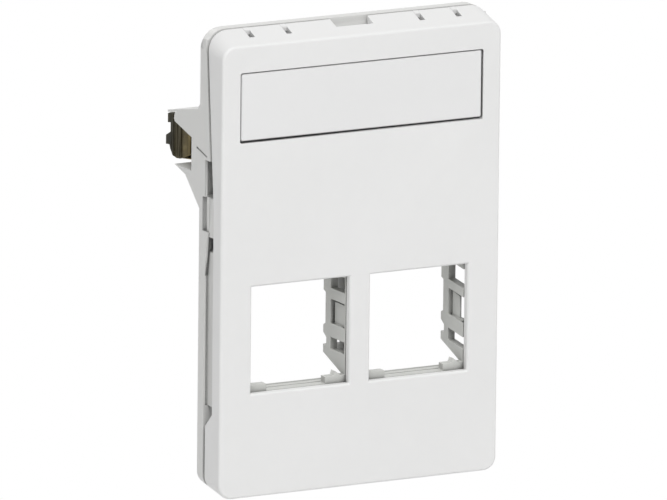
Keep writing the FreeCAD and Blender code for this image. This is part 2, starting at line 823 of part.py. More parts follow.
def build_carrier():
    """Connector carrier: two cells with latticed side walls, floor ledge, latches and snap lugs."""
    body = new_body("connector_carrier")
    front = "(body_depth - front_wall - carrier_gap)"
    block = sketch_on(body, "cell_block", "XZ_Plane", "-cell_rear")
    rectangle(
        block,
        f"-{BAY_OUTER} - cell_wall",
        f"{BAY_OUTER} + cell_wall",
        "-bay_drop - cell_bar",
        f"{BAY_TOP} + cell_bar",
    )
    pad(body, block, f"{front} + cell_rear")
    cells = sketch_on(body, "cells", "XZ_Plane")
    rectangle(cells, f"-{BAY_OUTER}", f"-{BAY_INNER}", "-bay_drop", BAY_TOP)
    rectangle(cells, BAY_INNER, BAY_OUTER, "-bay_drop", BAY_TOP)
    spare = "(bay_gap / 2 - cell_wall)"
    rectangle(cells, f"-{spare}", spare, "-bay_drop", BAY_TOP)
    pocket(body, cells)

    # Stepped rear edge of the walls: nubs at the top, above the tie and at the cheek
    ledge = "(ledge_depth - body_depth)"
    rear = "cell_rear"
    steps = sketch_on(body, "wall_steps", "YZ_Plane")
    polygon(steps, [
        (f"{rear} + fit", "-nub_end"),
        (f"{rear} - nub_reach", "-nub_end - nub_sink"),
        (f"{rear} - nub_reach", "-tie_top - nub_sink"),
        (rear, "-tie_top - nub_reach"),
        (rear, "-tie_low + nub_sink"),
        (f"{rear} - nub_reach - nub_sink", "-tie_low - nub_sink"),
        (f"{rear} - nub_reach - nub_sink", "-cheek_top + nub_sink"),
        (rear, "-cheek_top + nub_sink"),
        (rear, "-cheek_low"),
        (f"-{front} + cell_wall", "-bay_drop + floor_block"),
        (f"-{front} + cell_wall", "-bay_drop"),
        (ledge, "-bay_drop"),
        (ledge, "-bay_drop - cell_bar - fit"),
        (f"{rear} + fit", "-bay_drop - cell_bar - fit"),
    ])
    pocket(body, steps)

    # Three windows in every side wall leave two webs and a cheek, tilted in the outer walls
    jamb = f"({rear} - nub_reach - jamb_width)"
    closed = f"({front} - front_strip)"
    opened = f"({front} + fit)"
    outside = f"({BAY_OUTER} + cell_wall)"
    for name, plane, depth, forward, strip, drop, tilt in (
        ("inner", f"-{BAY_INNER}", "bay_gap", True, closed, "0", "0"),
        ("left", f"-{outside}", "cell_wall", True, opened, "outer_drop", "outer_tilt"),
        ("right", outside, "cell_wall", False, opened, "outer_drop", "outer_tilt"),
    ):
        windows = sketch_on(body, f"{name}_windows", "YZ_Plane", plane)
        for top, bottom in (
            (f"{BAY_TOP} - cell_wall / 2", f"-web_top - {drop}"),
            (f"-web_low - {drop} / 2", f"-tie_top - {drop}"),
            (f"-tie_low - {drop}", f"-cheek_top - {drop}"),
        ):
            polygon(windows, [
                (f"-{strip}", f"{top} - {tilt}"),
                (f"-{strip}", f"{bottom} - {tilt}"),
                (jamb, bottom),
                (jamb, top),
            ])
        pocket(body, windows, depth, along_normal=forward)

    # Latch tongue in the middle window of every wall
    latch_front = f"({closed} - latch_slot)"
    for name, wall_face, drop, tilt in (
        ("left_outer", f"-{BAY_OUTER} - latch_sink - latch_thickness", "outer_drop", "outer_tilt"),
        ("left_inner", f"-{BAY_INNER} + latch_sink", "0", "0"),
        ("right_inner", f"{BAY_INNER} - latch_sink - latch_thickness", "0", "0"),
        ("right_outer", f"{BAY_OUTER} + latch_sink", "outer_drop", "outer_tilt"),
    ):
        latch = sketch_on(body, f"{name}_latch", "YZ_Plane", wall_face)
        top = f"-web_low - {drop} / 2 - latch_gap"
        root = f"-tie_top - {drop} - {tilt} - cell_wall / 2"
        polygon(latch, [
            (f"-{latch_front}", root),
            (f"{jamb} - latch_gap", root),
            (f"{jamb} - latch_gap", top),
            (f"-{latch_front}", f"{top} - {tilt}"),
        ])
        pad(body, latch, "latch_thickness")

    # Raised blocks at the ends of each floor, with a pointed fin on the right-hand ones
    blocks = sketch_on(body, "floor_blocks", "XZ_Plane", f"{front} - block_run")
    fins = sketch_on(body, "block_fins", "XZ_Plane", f"{front} - block_run")
    block_top = "-bay_drop + floor_block"
    for low_end, high_end in ((f"-{BAY_OUTER}", f"-{BAY_INNER}"), (BAY_INNER, BAY_OUTER)):
        for near_edge, far_edge in (
            (low_end, f"{low_end} + block_width"),
            (f"{high_end} - block_width", high_end),
        ):
            rectangle(blocks, near_edge, far_edge, "-bay_drop - cell_bar / 2", block_top)
        polygon(fins, [
            (f"{high_end} - fin_width", f"{block_top} - floor_block / 2"),
            (high_end, f"{block_top} - floor_block / 2"),
            (f"{high_end} - fin_width + fin_lean", f"{block_top} + fin_height"),
        ])
    pad(body, blocks, "block_run")
    pad(body, fins, "block_run")

    # Lugs behind the frame's plate
    lugs = sketch_on(body, "rear_lugs", "XZ_Plane", f"{PLATE_BACK} - fit")
    for sign in ("-", ""):
        middle = f"{sign}({BAY_INNER} + {BAY_OUTER}) / 2"
        rectangle(
            lugs,
            f"{middle} - lug_width / 2",
            f"{middle} + lug_width / 2",
            f"{BAY_TOP} + cell_bar / 2",
            f"{BAY_TOP} + cell_bar + lug_reach",
        )
    pad(body, lugs, "cell_wall", backwards=True)
    return body


def build_claw(name, side):
    """Toothed claw, drawn straight back from its hinge with its tip bent outwards, then turned into place."""
    claw = new_body(f"{name}_claw")
    low = "(floor_top + claw_gap)"
    high = f"({CEILING} - swing_gap)"
    prong_high = f"({ROOF} - claw_gap)"
    shoulder = f"({CEILING} - mouth_fall + claw_gap)"
    half = "claw_sheet / 2"
    ridges = 3
    tip_y = f"(claw_bend + tip_length * cos(bend_angle) + {half} * sin(bend_angle))"

    def outer(along, proud):
        """Point on the tip's outer face, at a distance from the bend and proud of the face."""
        return (
            f"{side} * ({half} + {along} * sin(bend_angle) + {proud} * cos(bend_angle))",
            f"claw_bend - {half} * tan(bend_angle / 2) + {along} * cos(bend_angle) - {proud} * sin(bend_angle)",
        )

    # Bent strip of sheet, seen from above, with grip ridges on the tip
    corners = [
        (f"{-side} * {half}", "0"),
        (f"{-side} * {half}", f"claw_bend + {half} * tan(bend_angle / 2)"),
        (f"{side} * (tip_length * sin(bend_angle) - {half} * cos(bend_angle))", tip_y),
        outer(f"(tip_length - {half} * tan(bend_angle / 2))", "0"),
    ]
    for i in reversed(range(ridges)):
        corners.append(outer(f"({i} + 1) * ridge_pitch", "0"))
        corners.append(outer(f"({i} + 0.5) * ridge_pitch", "ridge_height"))
    corners.append(outer("0", "0"))
    corners.append((f"{side} * {half}", "0"))
    strip = sketch_on(claw, f"{name}_claw_strip", "XY_Plane", low)
    polygon(strip, corners)
    pad(claw, strip, f"{prong_high} - {low}")

    # Outline of the sheet from the side: neck, prong, tooth and curved lower corner
    past = f"{tip_y} + claw_sheet"
    trims = sketch_on(claw, f"{name}_claw_trims", "YZ_Plane")
    polygon(
        trims,
        [
            ("-claw_sheet", high),
            ("neck_start", high),
            ("neck_end", shoulder),
            ("neck_rise", shoulder),
            (f"{tip_y} - prong_width - claw_gap", high),
            (f"{tip_y} - prong_width", high),
            (f"{tip_y} - prong_width", f"{prong_high} + claw_sheet"),
            ("-claw_sheet", f"{prong_high} + claw_sheet"),
        ],
    )
    polygon(
        trims,
        [
            (f"{tip_y} - tooth_sink", "tooth_high + tooth_slant"),
            (f"{tip_y} - claw_gap", "tooth_high"),
            (past, "tooth_high"),
            (past, f"{prong_high} + claw_sheet"),
            (f"{tip_y} - prong_sink", f"{prong_high} + claw_sheet"),
            (f"{tip_y} - prong_sink", "prong_low"),
            (f"{tip_y} - tooth_sink", "prong_low"),
        ],
    )
    corner = [(f"{tip_y} - tip_relief", f"{low} - claw_sheet"), (past, f"{low} - claw_sheet"), (past, "tooth_low")]
    for back_share, height_share in ((0.4, 1), (0.46, 0.66), (0.61, 0.3), (0.76, 0.1), (1, 0)):
        corner.append((
            f"{tip_y} - {back_share} * tip_relief",
            f"{low} + {height_share} * (tooth_low - {low})",
        ))
    polygon(trims, corner)
    pocket(claw, trims)

    # Rolled eye round the pin, and the slot that the screw passes through
    roll = sketch_on(claw, f"{name}_claw_roll", "XY_Plane", low)
    circle(roll, "0", "0", "claw_eye")
    pad(claw, roll, f"{high} - {low}")
    bore = sketch_on(claw, f"{name}_claw_bore", "XY_Plane")
    circle(bore, "0", "0", "pin_diameter + 2 * pin_play")
    pocket(claw, bore)
    half_slot = "(screw_diameter / 2 + slot_gap)"
    slot = sketch_on(claw, f"{name}_claw_slot", "YZ_Plane")
    rectangle(
        slot,
        "claw_eye / 2",
        f"({LEVER} + {half_slot} + {half} * cos(claw_angle)) / sin(claw_angle)",
        f"{SCREW_Z} - {half_slot}",
        f"{SCREW_Z} + {half_slot}",
    )
    pocket(claw, slot)

    turn = FreeCAD.Rotation(FreeCAD.Vector(0, 0, -side), number("claw_angle"))
    claw.Placement = FreeCAD.Placement(FreeCAD.Vector(), turn)
    claw.setExpression("Placement.Rotation.Angle", bind("claw_angle"))
    claw.setExpression("Placement.Base.x", bind(f"{side} * {PIVOT_X}"))
    claw.setExpression("Placement.Base.y", bind(PIVOT_Y))
    return claw


def build_claw_drive(name, side):
    """Hinge pin, screw and cross nut of one side."""
    pin = doc.addObject("Part::Cylinder", f"{name}_claw_pin")
    pin.Label = f"{name}_claw_pin"
    pin.setExpression("Radius", bind("pin_diameter / 2"))
    pin.setExpression("Height", bind(f"{PIN_HIGH} - {PIN_LOW}"))
    pin.setExpression("Placement.Base.x", bind(f"{side} * {PIVOT_X}"))
    pin.setExpression("Placement.Base.y", bind(PIVOT_Y))
    pin.setExpression("Placement.Base.z", bind(PIN_LOW))

    # Screw turned about its own axis, head to the front
    screw = new_body(f"{name}_claw_screw")
    profile = sketch_on(screw, f"{name}_screw_profile", "XY_Plane")
    seat = f"(-{PLATE_FRONT} - head_play)"
    tip = f"({NUT_Y} + nut_diameter / 2 + screw_tail)"
    polygon(
        profile,
        [
            ("0", f"{seat} - head_height"),
            ("head_diameter / 2 - head_height / 4", f"{seat} - head_height"),
            ("head_diameter / 2", f"{seat} - head_height / 2"),
            ("head_diameter / 2", seat),
            ("screw_diameter / 2", seat),
            ("screw_diameter / 2", f"{tip} - screw_diameter / 4"),
            ("screw_diameter / 4", tip),
            ("0", tip),
        ],
    )
    turned = screw.newObject("PartDesign::Revolution", f"{name}_screw_turned")
    turned.Profile = profile
    turned.ReferenceAxis = (profile, ["V_Axis"])
    turned.Angle = 360
    doc.recompute()
    drive = sketch_on(screw, f"{name}_screw_drive", "XZ_Plane", f"-{seat} + head_height")
    rectangle(drive, "-head_diameter", "head_diameter", "-drive_slot_width / 2", "drive_slot_width / 2")
    pocket(screw, drive, "drive_slot_depth")
    screw.setExpression("Placement.Base.x", bind(f"{side} * {SCREW_X}"))
    screw.setExpression("Placement.Base.z", bind(SCREW_Z))

    # Round cross nut behind the claw, across the screw
    nut = new_body(f"{name}_claw_nut")
    barrel = sketch_on(nut, f"{name}_nut_barrel", "XY_Plane")
    circle(barrel, "0", "0", "nut_diameter")
    pad(nut, barrel, "nut_length", both_ways=True)
    thread = sketch_on(nut, f"{name}_nut_thread", "XZ_Plane")
    circle(thread, "0", "0", "screw_diameter + 2 * thread_play")
    pocket(nut, thread)
    nut.setExpression("Placement.Base.x", bind(f"{side} * {SCREW_X}"))
    nut.setExpression("Placement.Base.y", bind(NUT_Y))
    nut.setExpression("Placement.Base.z", bind(SCREW_Z))
    return [pin, screw, nut]


pieces = [build_cover()]
pieces.extend(build_label())
pieces.append(build_frame())
pieces.append(build_carrier())
for side_name, side_sign in SIDES:
    pieces.append(build_claw(side_name, side_sign))
    pieces.extend(build_claw_drive(side_name, side_sign))
doc.recompute()

# Every object has to be sound before anything is written
for thing in doc.Objects:
    if "Invalid" in thing.State or "Error" in thing.State:
        raise RuntimeError(f"{thing.Name} failed: {thing.State}")
for piece in pieces:
    if piece.Shape.isNull() or not piece.Shape.isValid():
        raise RuntimeError(f"{piece.Label} has no valid shape")
    if len(piece.Shape.Solids) != 1:
        raise RuntimeError(f"{piece.Label} has {len(piece.Shape.Solids)} solids")

os.makedirs("parts", exist_ok=True)
for piece in pieces:
    piece.Shape.exportStep(f"parts/{piece.Label}.step")
    print(piece.Label, round(piece.Shape.Volume, 2), piece.Shape.BoundBox)
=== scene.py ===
"""Looks of a flush twin data outlet: moulded shells, label, jack carrier and screw-driven claws."""
import json
import logging
import math
from dataclasses import dataclass, field, replace
from enum import Enum

import bmesh
import bpy
from mathutils import Matrix, Vector

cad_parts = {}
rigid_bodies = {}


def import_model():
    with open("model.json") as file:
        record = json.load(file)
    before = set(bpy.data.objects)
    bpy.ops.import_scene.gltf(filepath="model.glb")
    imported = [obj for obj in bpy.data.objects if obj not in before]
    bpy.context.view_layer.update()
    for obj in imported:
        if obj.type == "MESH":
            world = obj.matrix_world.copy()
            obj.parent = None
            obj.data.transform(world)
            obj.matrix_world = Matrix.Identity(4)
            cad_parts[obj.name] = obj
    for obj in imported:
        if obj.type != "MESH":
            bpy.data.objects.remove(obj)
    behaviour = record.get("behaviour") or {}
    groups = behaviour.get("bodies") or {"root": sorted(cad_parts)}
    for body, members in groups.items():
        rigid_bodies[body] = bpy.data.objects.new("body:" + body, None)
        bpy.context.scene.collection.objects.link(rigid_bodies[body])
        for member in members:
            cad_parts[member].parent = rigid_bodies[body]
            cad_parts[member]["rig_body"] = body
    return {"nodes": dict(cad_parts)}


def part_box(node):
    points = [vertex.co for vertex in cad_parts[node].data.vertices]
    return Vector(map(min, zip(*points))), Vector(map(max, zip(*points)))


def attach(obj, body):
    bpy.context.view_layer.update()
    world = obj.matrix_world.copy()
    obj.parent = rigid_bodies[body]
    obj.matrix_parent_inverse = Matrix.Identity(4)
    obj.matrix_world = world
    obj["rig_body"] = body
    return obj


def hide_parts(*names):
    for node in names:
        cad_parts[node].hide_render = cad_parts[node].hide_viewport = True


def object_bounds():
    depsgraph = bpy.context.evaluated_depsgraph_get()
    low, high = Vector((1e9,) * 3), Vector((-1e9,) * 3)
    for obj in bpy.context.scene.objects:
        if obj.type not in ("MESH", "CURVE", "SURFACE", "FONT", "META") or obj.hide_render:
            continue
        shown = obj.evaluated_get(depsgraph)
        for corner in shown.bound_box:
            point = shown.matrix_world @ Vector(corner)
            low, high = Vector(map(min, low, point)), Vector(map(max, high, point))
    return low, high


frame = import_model()
CAD_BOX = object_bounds()

log = logging.getLogger("wall_outlet")
MM = 0.001
NUMBER = "NodeSocketFloat"
COLOUR = "NodeSocketColor"
Colour = tuple[float, float, float]
Paint = tuple[float, float, float, float]
Place = tuple[float, float, float]
Socket = bpy.types.NodeSocket


class Side(Enum):
    """Side of the outlet, as seen from the room; the value is the sign of X."""

    LEFT = -1
    RIGHT = 1

    @property
    def word(self) -> str:
        """Name of the side as the CAD nodes spell it."""
        return self.name.lower()


@dataclass(frozen=True)
class Waves:
    """Noise pattern: waves per metre, number of finer layers and their strength."""

    per_metre: float
    layers: float
    strength: float = 0.5


@dataclass(frozen=True)
class Ramp:
    """Smooth passage from start to end, while a value runs from low to high."""

    low: float
    high: float
    start: float = 0.0
    end: float = 1.0


def opaque(colour: Colour, tone: float = 1.0) -> Paint:
    """Colour for a shader's socket, times a tone and no lighter than white."""
    return (*(min(1.0, part * tone) for part in colour), 1.0)


class NodeSheet:
    """Small helper that adds and wires nodes in one node tree."""

    COLUMN_STEP = 190.0

    def __init__(self, tree: bpy.types.NodeTree) -> None:
        """Start with an empty tree.

        Args:
            tree: Node tree of a group, a material or the world.
        """
        self.tree = tree
        self.tree.nodes.clear()
        self.column = 0

    def add(
        self, kind: str, values: dict[str | int, object] | None = None, **settings: object
    ) -> bpy.types.Node:
        """Add a node, set its properties and fill or wire its inputs.

        Args:
            kind: Blender's type name of the node.
            values: Input name or number to a constant, or to the socket that feeds it.
            **settings: Properties of the node itself.

        Returns:
            The new node.
        """
        node = self.tree.nodes.new(kind)
        node.location = (self.column * self.COLUMN_STEP, 0.0)
        self.column += 1
        for key, value in settings.items():
            setattr(node, key, value)
        for key, value in (values or {}).items():
            self.feed(node.inputs[key], value)
        return node

    def feed(self, socket: Socket, value: object) -> None:
        """Wire a socket into another one, or set it to a constant.

        Args:
            socket: Input to feed.
            value: Output socket, number or colour.
        """
        if isinstance(value, Socket):
            self.tree.links.new(value, socket)
        else:
            socket.default_value = value

    def effect(self, group: bpy.types.NodeTree, values: dict[str, object]) -> bpy.types.NodeOutputs:
        """Place a shared node group with values of its own.

        Args:
            group: Shared node group.
            values: Input name to a constant, or to the socket that feeds it.

        Returns:
            The outputs of the placed group.
        """
        return self.add("ShaderNodeGroup", values, node_tree=group).outputs

    def where(self) -> Socket:
        """Place on the piece, in metres of the shared frame."""
        return self.add("ShaderNodeTexCoord").outputs["Object"]

    def maths(self, operation: str, first: object, second: object, clamp: bool = False) -> Socket:
        """Result of one Math node.

        Args:
            operation: Name of the operation.
            first: First operand, a socket or a number.
            second: Second operand, a socket or a number.
            clamp: Whether the result is kept between 0 and 1.

        Returns:
            The node's output socket.
        """
        node = self.add("ShaderNodeMath", {0: first, 1: second}, operation=operation, use_clamp=clamp)
        return node.outputs[0]

    def blend(self, first: Socket, second: Socket, share: float) -> Socket:
        """Weighted mean of two values.

        Args:
            first: First value.
            second: Second value.
            share: Weight of the first value, from 0 to 1.

        Returns:
            The mean's socket.
        """
        weighted = self.maths("MULTIPLY", first, share)
        return self.maths("ADD", weighted, self.maths("MULTIPLY", second, 1.0 - share))

    def span(self, value: Socket, ramp: Ramp) -> Socket:
        """Map a value smoothly along a ramp.

        Args:
            value: Socket to map.
            ramp: Span of the value and the results at its ends.

        Returns:
            The mapped value's socket.
        """
        ends = {"From Min": ramp.low, "From Max": ramp.high, "To Min": ramp.start, "To Max": ramp.end}
        node = self.add("ShaderNodeMapRange", {"Value": value, **ends}, interpolation_type="SMOOTHSTEP")
        return node.outputs["Result"]

    def mix(self, factor: Socket, first: object, second: object) -> Socket:
        """Mix two colours.

        Args:
            factor: Share of the second colour.
            first: First colour.
            second: Second colour.

        Returns:
            The mixed colour's socket.
        """
        node = self.add("ShaderNodeMix", data_type="RGBA", blend_type="MIX")
        for name, value in (("Factor_Float", factor), ("A_Color", first), ("B_Color", second)):
            self.feed(next(s for s in node.inputs if s.identifier == name), value)
        return next(s for s in node.outputs if s.identifier == "Result_Color")

    def noise(self, where: Socket, waves: Waves, per_metre: Socket | None = None) -> Socket:
        """Value of a noise texture.

        Args:
            where: Coordinates.
            waves: Pattern of the noise.
            per_metre: Socket with the waves per metre, or None to take the pattern's own number.

        Returns:
            The noise value's socket.
        """
        node = self.add(
            "ShaderNodeTexNoise",
            {
                "Vector": where,
                "Scale": waves.per_metre if per_metre is None else per_metre,
                "Detail": waves.layers,
                "Roughness": waves.strength,
            },
        )
        return node.outputs[0]


class Effects:
    """Shader node groups that several finishes share."""

    # Moulded skin
    CLOUDS = Waves(55.0, 3.0)
    FLOW = Waves(420.0, 4.0, 0.6)
    GRAIN = Waves(5000.0, 2.0, 0.55)
    PITS_PER_GRAIN = 0.55
    CLOUDS_IN_SHADE = 0.7
    GRAIN_IN_HEIGHT = 0.6
    SHADE = Ramp(0.3, 0.7, -0.5, 0.5)
    WANDER = Ramp(0.25, 0.75, -1.0, 1.0)

    # Edges lighter from rubbing wear and painted highlight; painted shade in gaps and pits
    RUB_PATCHES = Waves(900.0, 3.0, 0.6)
    RUBBED = Ramp(0.35, 0.65, 0.35, 1.0)
    EDGE_HELD = Ramp(0.45, 0.9, 1.0, 0.0)
    GAP_HELD = Ramp(0.25, 0.7, 1.0, 0.0)
    PIT_HELD = Ramp(0.2, 0.85, 1.0, 0.0)
    SOIL_BELOW = Ramp(-2.5 * MM, 0.0, 1.0, 0.45)
    SKY_SAMPLES = 8

    # Passivation film
    HUES = Waves(700.0, 3.0, 0.6)
    THIN_FILM = Ramp(0.5, 0.68, 0.0, 0.8)
    THICK_FILM = Ramp(0.5, 0.32, 0.0, 0.8)
    DRAWN = (1.0, 1.0, 0.06)
    STREAKS = Waves(2600.0, 3.0, 0.65)
    STREAK_TINT = Ramp(0.35, 0.7, 0.0, 0.7)
    STREAK_ROUGHNESS = Ramp(0.3, 0.7, -0.08, 0.1)
    SPOTS = Waves(3600.0, 2.0)
    SPOT_ROUGHNESS = Ramp(0.58, 0.72, 0.0, 0.16)

    def __init__(self) -> None:
        """Build every group once."""
        self.skin = self.moulded_skin()
        self.relief = self.edge_relief()
        self.film = self.passivation_film()

    @staticmethod
    def sockets(
        name: str, inputs: dict[str, tuple[str, object]], outputs: dict[str, str]
    ) -> bpy.types.NodeTree:
        """New group with named sockets.

        Args:
            name: Name of the group.
            inputs: Input name to its kind and usual value.
            outputs: Output name to its kind.

        Returns:
            The empty group.
        """
        group = bpy.data.node_groups.new(name, "ShaderNodeTree")
        for label, (kind, usual) in inputs.items():
            group.interface.new_socket(label, in_out="INPUT", socket_type=kind).default_value = usual
        for label, kind in outputs.items():
            group.interface.new_socket(label, in_out="OUTPUT", socket_type=kind)
        return group

    def moulded_skin(self) -> bpy.types.NodeTree:
        """Skin of a moulded plastic: spark-eroded grain, slow cloudiness and flow marks.

        Returns:
            Group with colour, roughness and height.
        """
        group = self.sockets(
            "moulded_skin",
            {
                "Colour": (COLOUR, (0.8, 0.8, 0.8, 1.0)),
                "Cloud": (NUMBER, 0.02),
                "Grain per metre": (NUMBER, self.GRAIN.per_metre),
                "Roughness": (NUMBER, 0.45),
                "Roughness drift": (NUMBER, 0.06),
            },
            {"Colour": COLOUR, "Roughness": NUMBER, "Height": NUMBER},
        )
        sheet = NodeSheet(group)
        given = sheet.add("NodeGroupInput").outputs
        where = sheet.where()
        flow = sheet.noise(where, self.FLOW)
        grain = sheet.noise(where, self.GRAIN, given["Grain per metre"])
        pits_per_metre = sheet.maths("MULTIPLY", given["Grain per metre"], self.PITS_PER_GRAIN)
        pits = sheet.add(
            "ShaderNodeTexVoronoi", {"Vector": where, "Scale": pits_per_metre}, feature="SMOOTH_F1"
        ).outputs["Distance"]
        drift = sheet.blend(sheet.noise(where, self.CLOUDS), flow, self.CLOUDS_IN_SHADE)
        shade = sheet.maths("MULTIPLY", sheet.span(drift, self.SHADE), given["Cloud"])
        value = sheet.maths("ADD", shade, 1.0)
        tinted = sheet.add("ShaderNodeHueSaturation", {"Value": value, "Color": given["Colour"]})
        wander = sheet.maths("MULTIPLY", sheet.span(flow, self.WANDER), given["Roughness drift"])
        sheet.add(
            "NodeGroupOutput",
            {
                "Colour": tinted.outputs[0],
                "Roughness": sheet.maths("ADD", wander, given["Roughness"]),
                "Height": sheet.blend(grain, pits, self.GRAIN_IN_HEIGHT),
            },
        )
        return group

    def edge_relief(self) -> bpy.types.NodeTree:
        """Outer edges a little lighter from rubbing wear and painted highlight, and painted shade in narrow
        gaps and deeper pits.

        Returns:
            Group with the colour after the edge wear with painted highlight, and after the painted shade.
        """
        group = self.sockets(
            "edge_relief",
            {
                "Colour": (COLOUR, (0.8, 0.8, 0.8, 1.0)),
                "Edge colour": (COLOUR, (0.9, 0.9, 0.9, 1.0)),
                "Corner colour": (COLOUR, (0.5, 0.5, 0.48, 1.0)),
                "Edge share": (NUMBER, 0.15),
                "Corner share": (NUMBER, 0.12),
                "Pit share": (NUMBER, 0.0),
                "Edge reach": (NUMBER, 0.6 * MM),
                "Gap reach": (NUMBER, 1.2 * MM),
                "Pit reach": (NUMBER, 4.0 * MM),
                "Clean height": (NUMBER, 1.0),
            },
            {"Colour": COLOUR},
        )
        sheet = NodeSheet(group)
        given = sheet.add("NodeGroupInput").outputs
        where = sheet.where()
        held = {}
        for label, ramp in (("Edge", self.EDGE_HELD), ("Gap", self.GAP_HELD), ("Pit", self.PIT_HELD)):
            sky = sheet.add(
                "ShaderNodeAmbientOcclusion",
                {"Distance": given[f"{label} reach"]},
                inside=label == "Edge",
                samples=self.SKY_SAMPLES,
            )
            held[label] = sheet.span(sky.outputs["AO"], ramp)
        # Edges lighter: partly rubbing wear, partly painted highlight on outer edges.
        patch = sheet.span(sheet.noise(where, self.RUB_PATCHES), self.RUBBED)
        edge = sheet.maths("MULTIPLY", held["Edge"], patch)
        # Painted shade: ambient occlusion darkens narrow gaps and deeper pits towards the shade colour.
        gap = sheet.maths("MULTIPLY", held["Gap"], given["Corner share"])
        pit = sheet.maths("MULTIPLY", held["Pit"], given["Pit share"])
        # The painted shade fades out above the given height, on the top that light falls on.
        level = sheet.add("ShaderNodeSeparateXYZ", {"Vector": where}).outputs["Z"]
        kept = sheet.span(sheet.maths("SUBTRACT", level, given["Clean height"]), self.SOIL_BELOW)
        corner = sheet.maths("MULTIPLY", sheet.maths("MAXIMUM", gap, pit), kept)
        painted_gap_shade = sheet.mix(corner, given["Colour"], given["Corner colour"])
        edge_wear_and_highlight = sheet.mix(sheet.maths("MULTIPLY", edge, given["Edge share"]), painted_gap_shade, given["Edge colour"])
        sheet.add("NodeGroupOutput", {"Colour": edge_wear_and_highlight})
        return group

    def passivation_film(self) -> bpy.types.NodeTree:
        """Yellow chromate film on zinc: drifting hue, drawing streaks and dull spots.

        Returns:
            Group with colour, roughness and height.
        """
        group = self.sockets(
            "passivation_film",
            {
                "Film": (COLOUR, (0.5, 0.4, 0.2, 1.0)),
                "Thin film": (COLOUR, (0.5, 0.45, 0.35, 1.0)),
                "Thick film": (COLOUR, (0.35, 0.28, 0.12, 1.0)),
                "Roughness": (NUMBER, 0.35),
            },
            {"Colour": COLOUR, "Roughness": NUMBER, "Height": NUMBER},
        )
        sheet = NodeSheet(group)
        given = sheet.add("NodeGroupInput").outputs
        where = sheet.where()
        hue = sheet.noise(where, self.HUES)
        thin = sheet.mix(sheet.span(hue, self.THIN_FILM), given["Film"], given["Thin film"])
        film = sheet.mix(sheet.span(hue, self.THICK_FILM), thin, given["Thick film"])
        drawn = sheet.add("ShaderNodeMapping", {"Vector": where, "Scale": self.DRAWN}).outputs[0]
        streak = sheet.noise(drawn, self.STREAKS)
        spots = sheet.span(sheet.noise(where, self.SPOTS), self.SPOT_ROUGHNESS)
        rough = sheet.maths("ADD", given["Roughness"], sheet.span(streak, self.STREAK_ROUGHNESS))
        sheet.add(
            "NodeGroupOutput",
            {
                "Colour": sheet.mix(sheet.span(streak, self.STREAK_TINT), film, given["Thick film"]),
                "Roughness": sheet.maths("ADD", rough, spots, clamp=True),
                "Height": streak,
            },
        )
        return group


class Finish:
    """Base of the finishes: a named material with one surface shader."""

    name: str

    def start(self) -> tuple[bpy.types.Material, NodeSheet]:
        """New node material with an empty tree.

        Returns:
            The material and the sheet of its tree.
        """
        material = bpy.data.materials.new(self.name)
        material.use_nodes = True
        return material, NodeSheet(material.node_tree)

    @staticmethod
    def close(
        sheet: NodeSheet, colour: Socket, rough: Socket, height: Socket, depth: float, **plain: float
    ) -> None:
        """Add the surface shader with its bump.

        Args:
            sheet: Sheet of the material.
            colour: Socket of the base colour.
            rough: Socket of the roughness.
            height: Socket of the bump's height.
            depth: Height of the relief in metres.
            **plain: Constants for the shader's own sockets, with _ for a space.
        """
        bump = sheet.add("ShaderNodeBump", {"Strength": 1.0, "Distance": depth, "Height": height})
        surface = sheet.add(
            "ShaderNodeBsdfPrincipled",
            {"Base Color": colour, "Roughness": rough, "Normal": bump.outputs[0]},
        )
        for key, value in plain.items():
            surface.inputs[key.replace("_", " ")].default_value = value
        sheet.add("ShaderNodeOutputMaterial", {"Surface": surface.outputs[0]})


@dataclass(frozen=True)
class MouldedPlastic(Finish):
    """Satin white moulding with a fine eroded grain."""

    name: str
    colour: Colour
    roughness: float
    cloud: float = 0.02
    grain_per_m: float = 5200.0
    grain_depth: float = 2.0e-6
    specular: float = 0.42
    # Edges lighter from rubbing wear and painted highlight.
    edge_share: float = 0.2
    edge_tone: float = 1.05
    # Painted shade in gaps and pits, with its share, darkness and reach; it fades out above the given
    # height.
    corner_share: float = 0.95
    corner_tone: float = 0.22
    pit_share: float = 0.0
    pit_reach: float = 4.0 * MM
    clean_height: float = 36.6 * MM

    def build(self, effects: Effects) -> bpy.types.Material:
        """Make the material.

        Args:
            effects: Shared node groups.

        Returns:
            The finished material.
        """
        material, sheet = self.start()
        skin = sheet.effect(
            effects.skin,
            {
                "Colour": opaque(self.colour),
                "Cloud": self.cloud,
                "Grain per metre": self.grain_per_m,
                "Roughness": self.roughness,
            },
        )
        relief = sheet.effect(
            effects.relief,
            {
                "Colour": skin["Colour"],
                "Edge colour": opaque(self.colour, self.edge_tone),
                "Corner colour": opaque(self.colour, self.corner_tone),
                "Edge share": self.edge_share,
                "Corner share": self.corner_share,
                "Pit share": self.pit_share,
                "Pit reach": self.pit_reach,
                "Clean height": self.clean_height,
            },
        )
        self.close(
            sheet, relief["Colour"], skin["Roughness"], skin["Height"], self.grain_depth,
            Specular_IOR_Level=self.specular,
        )
        return material


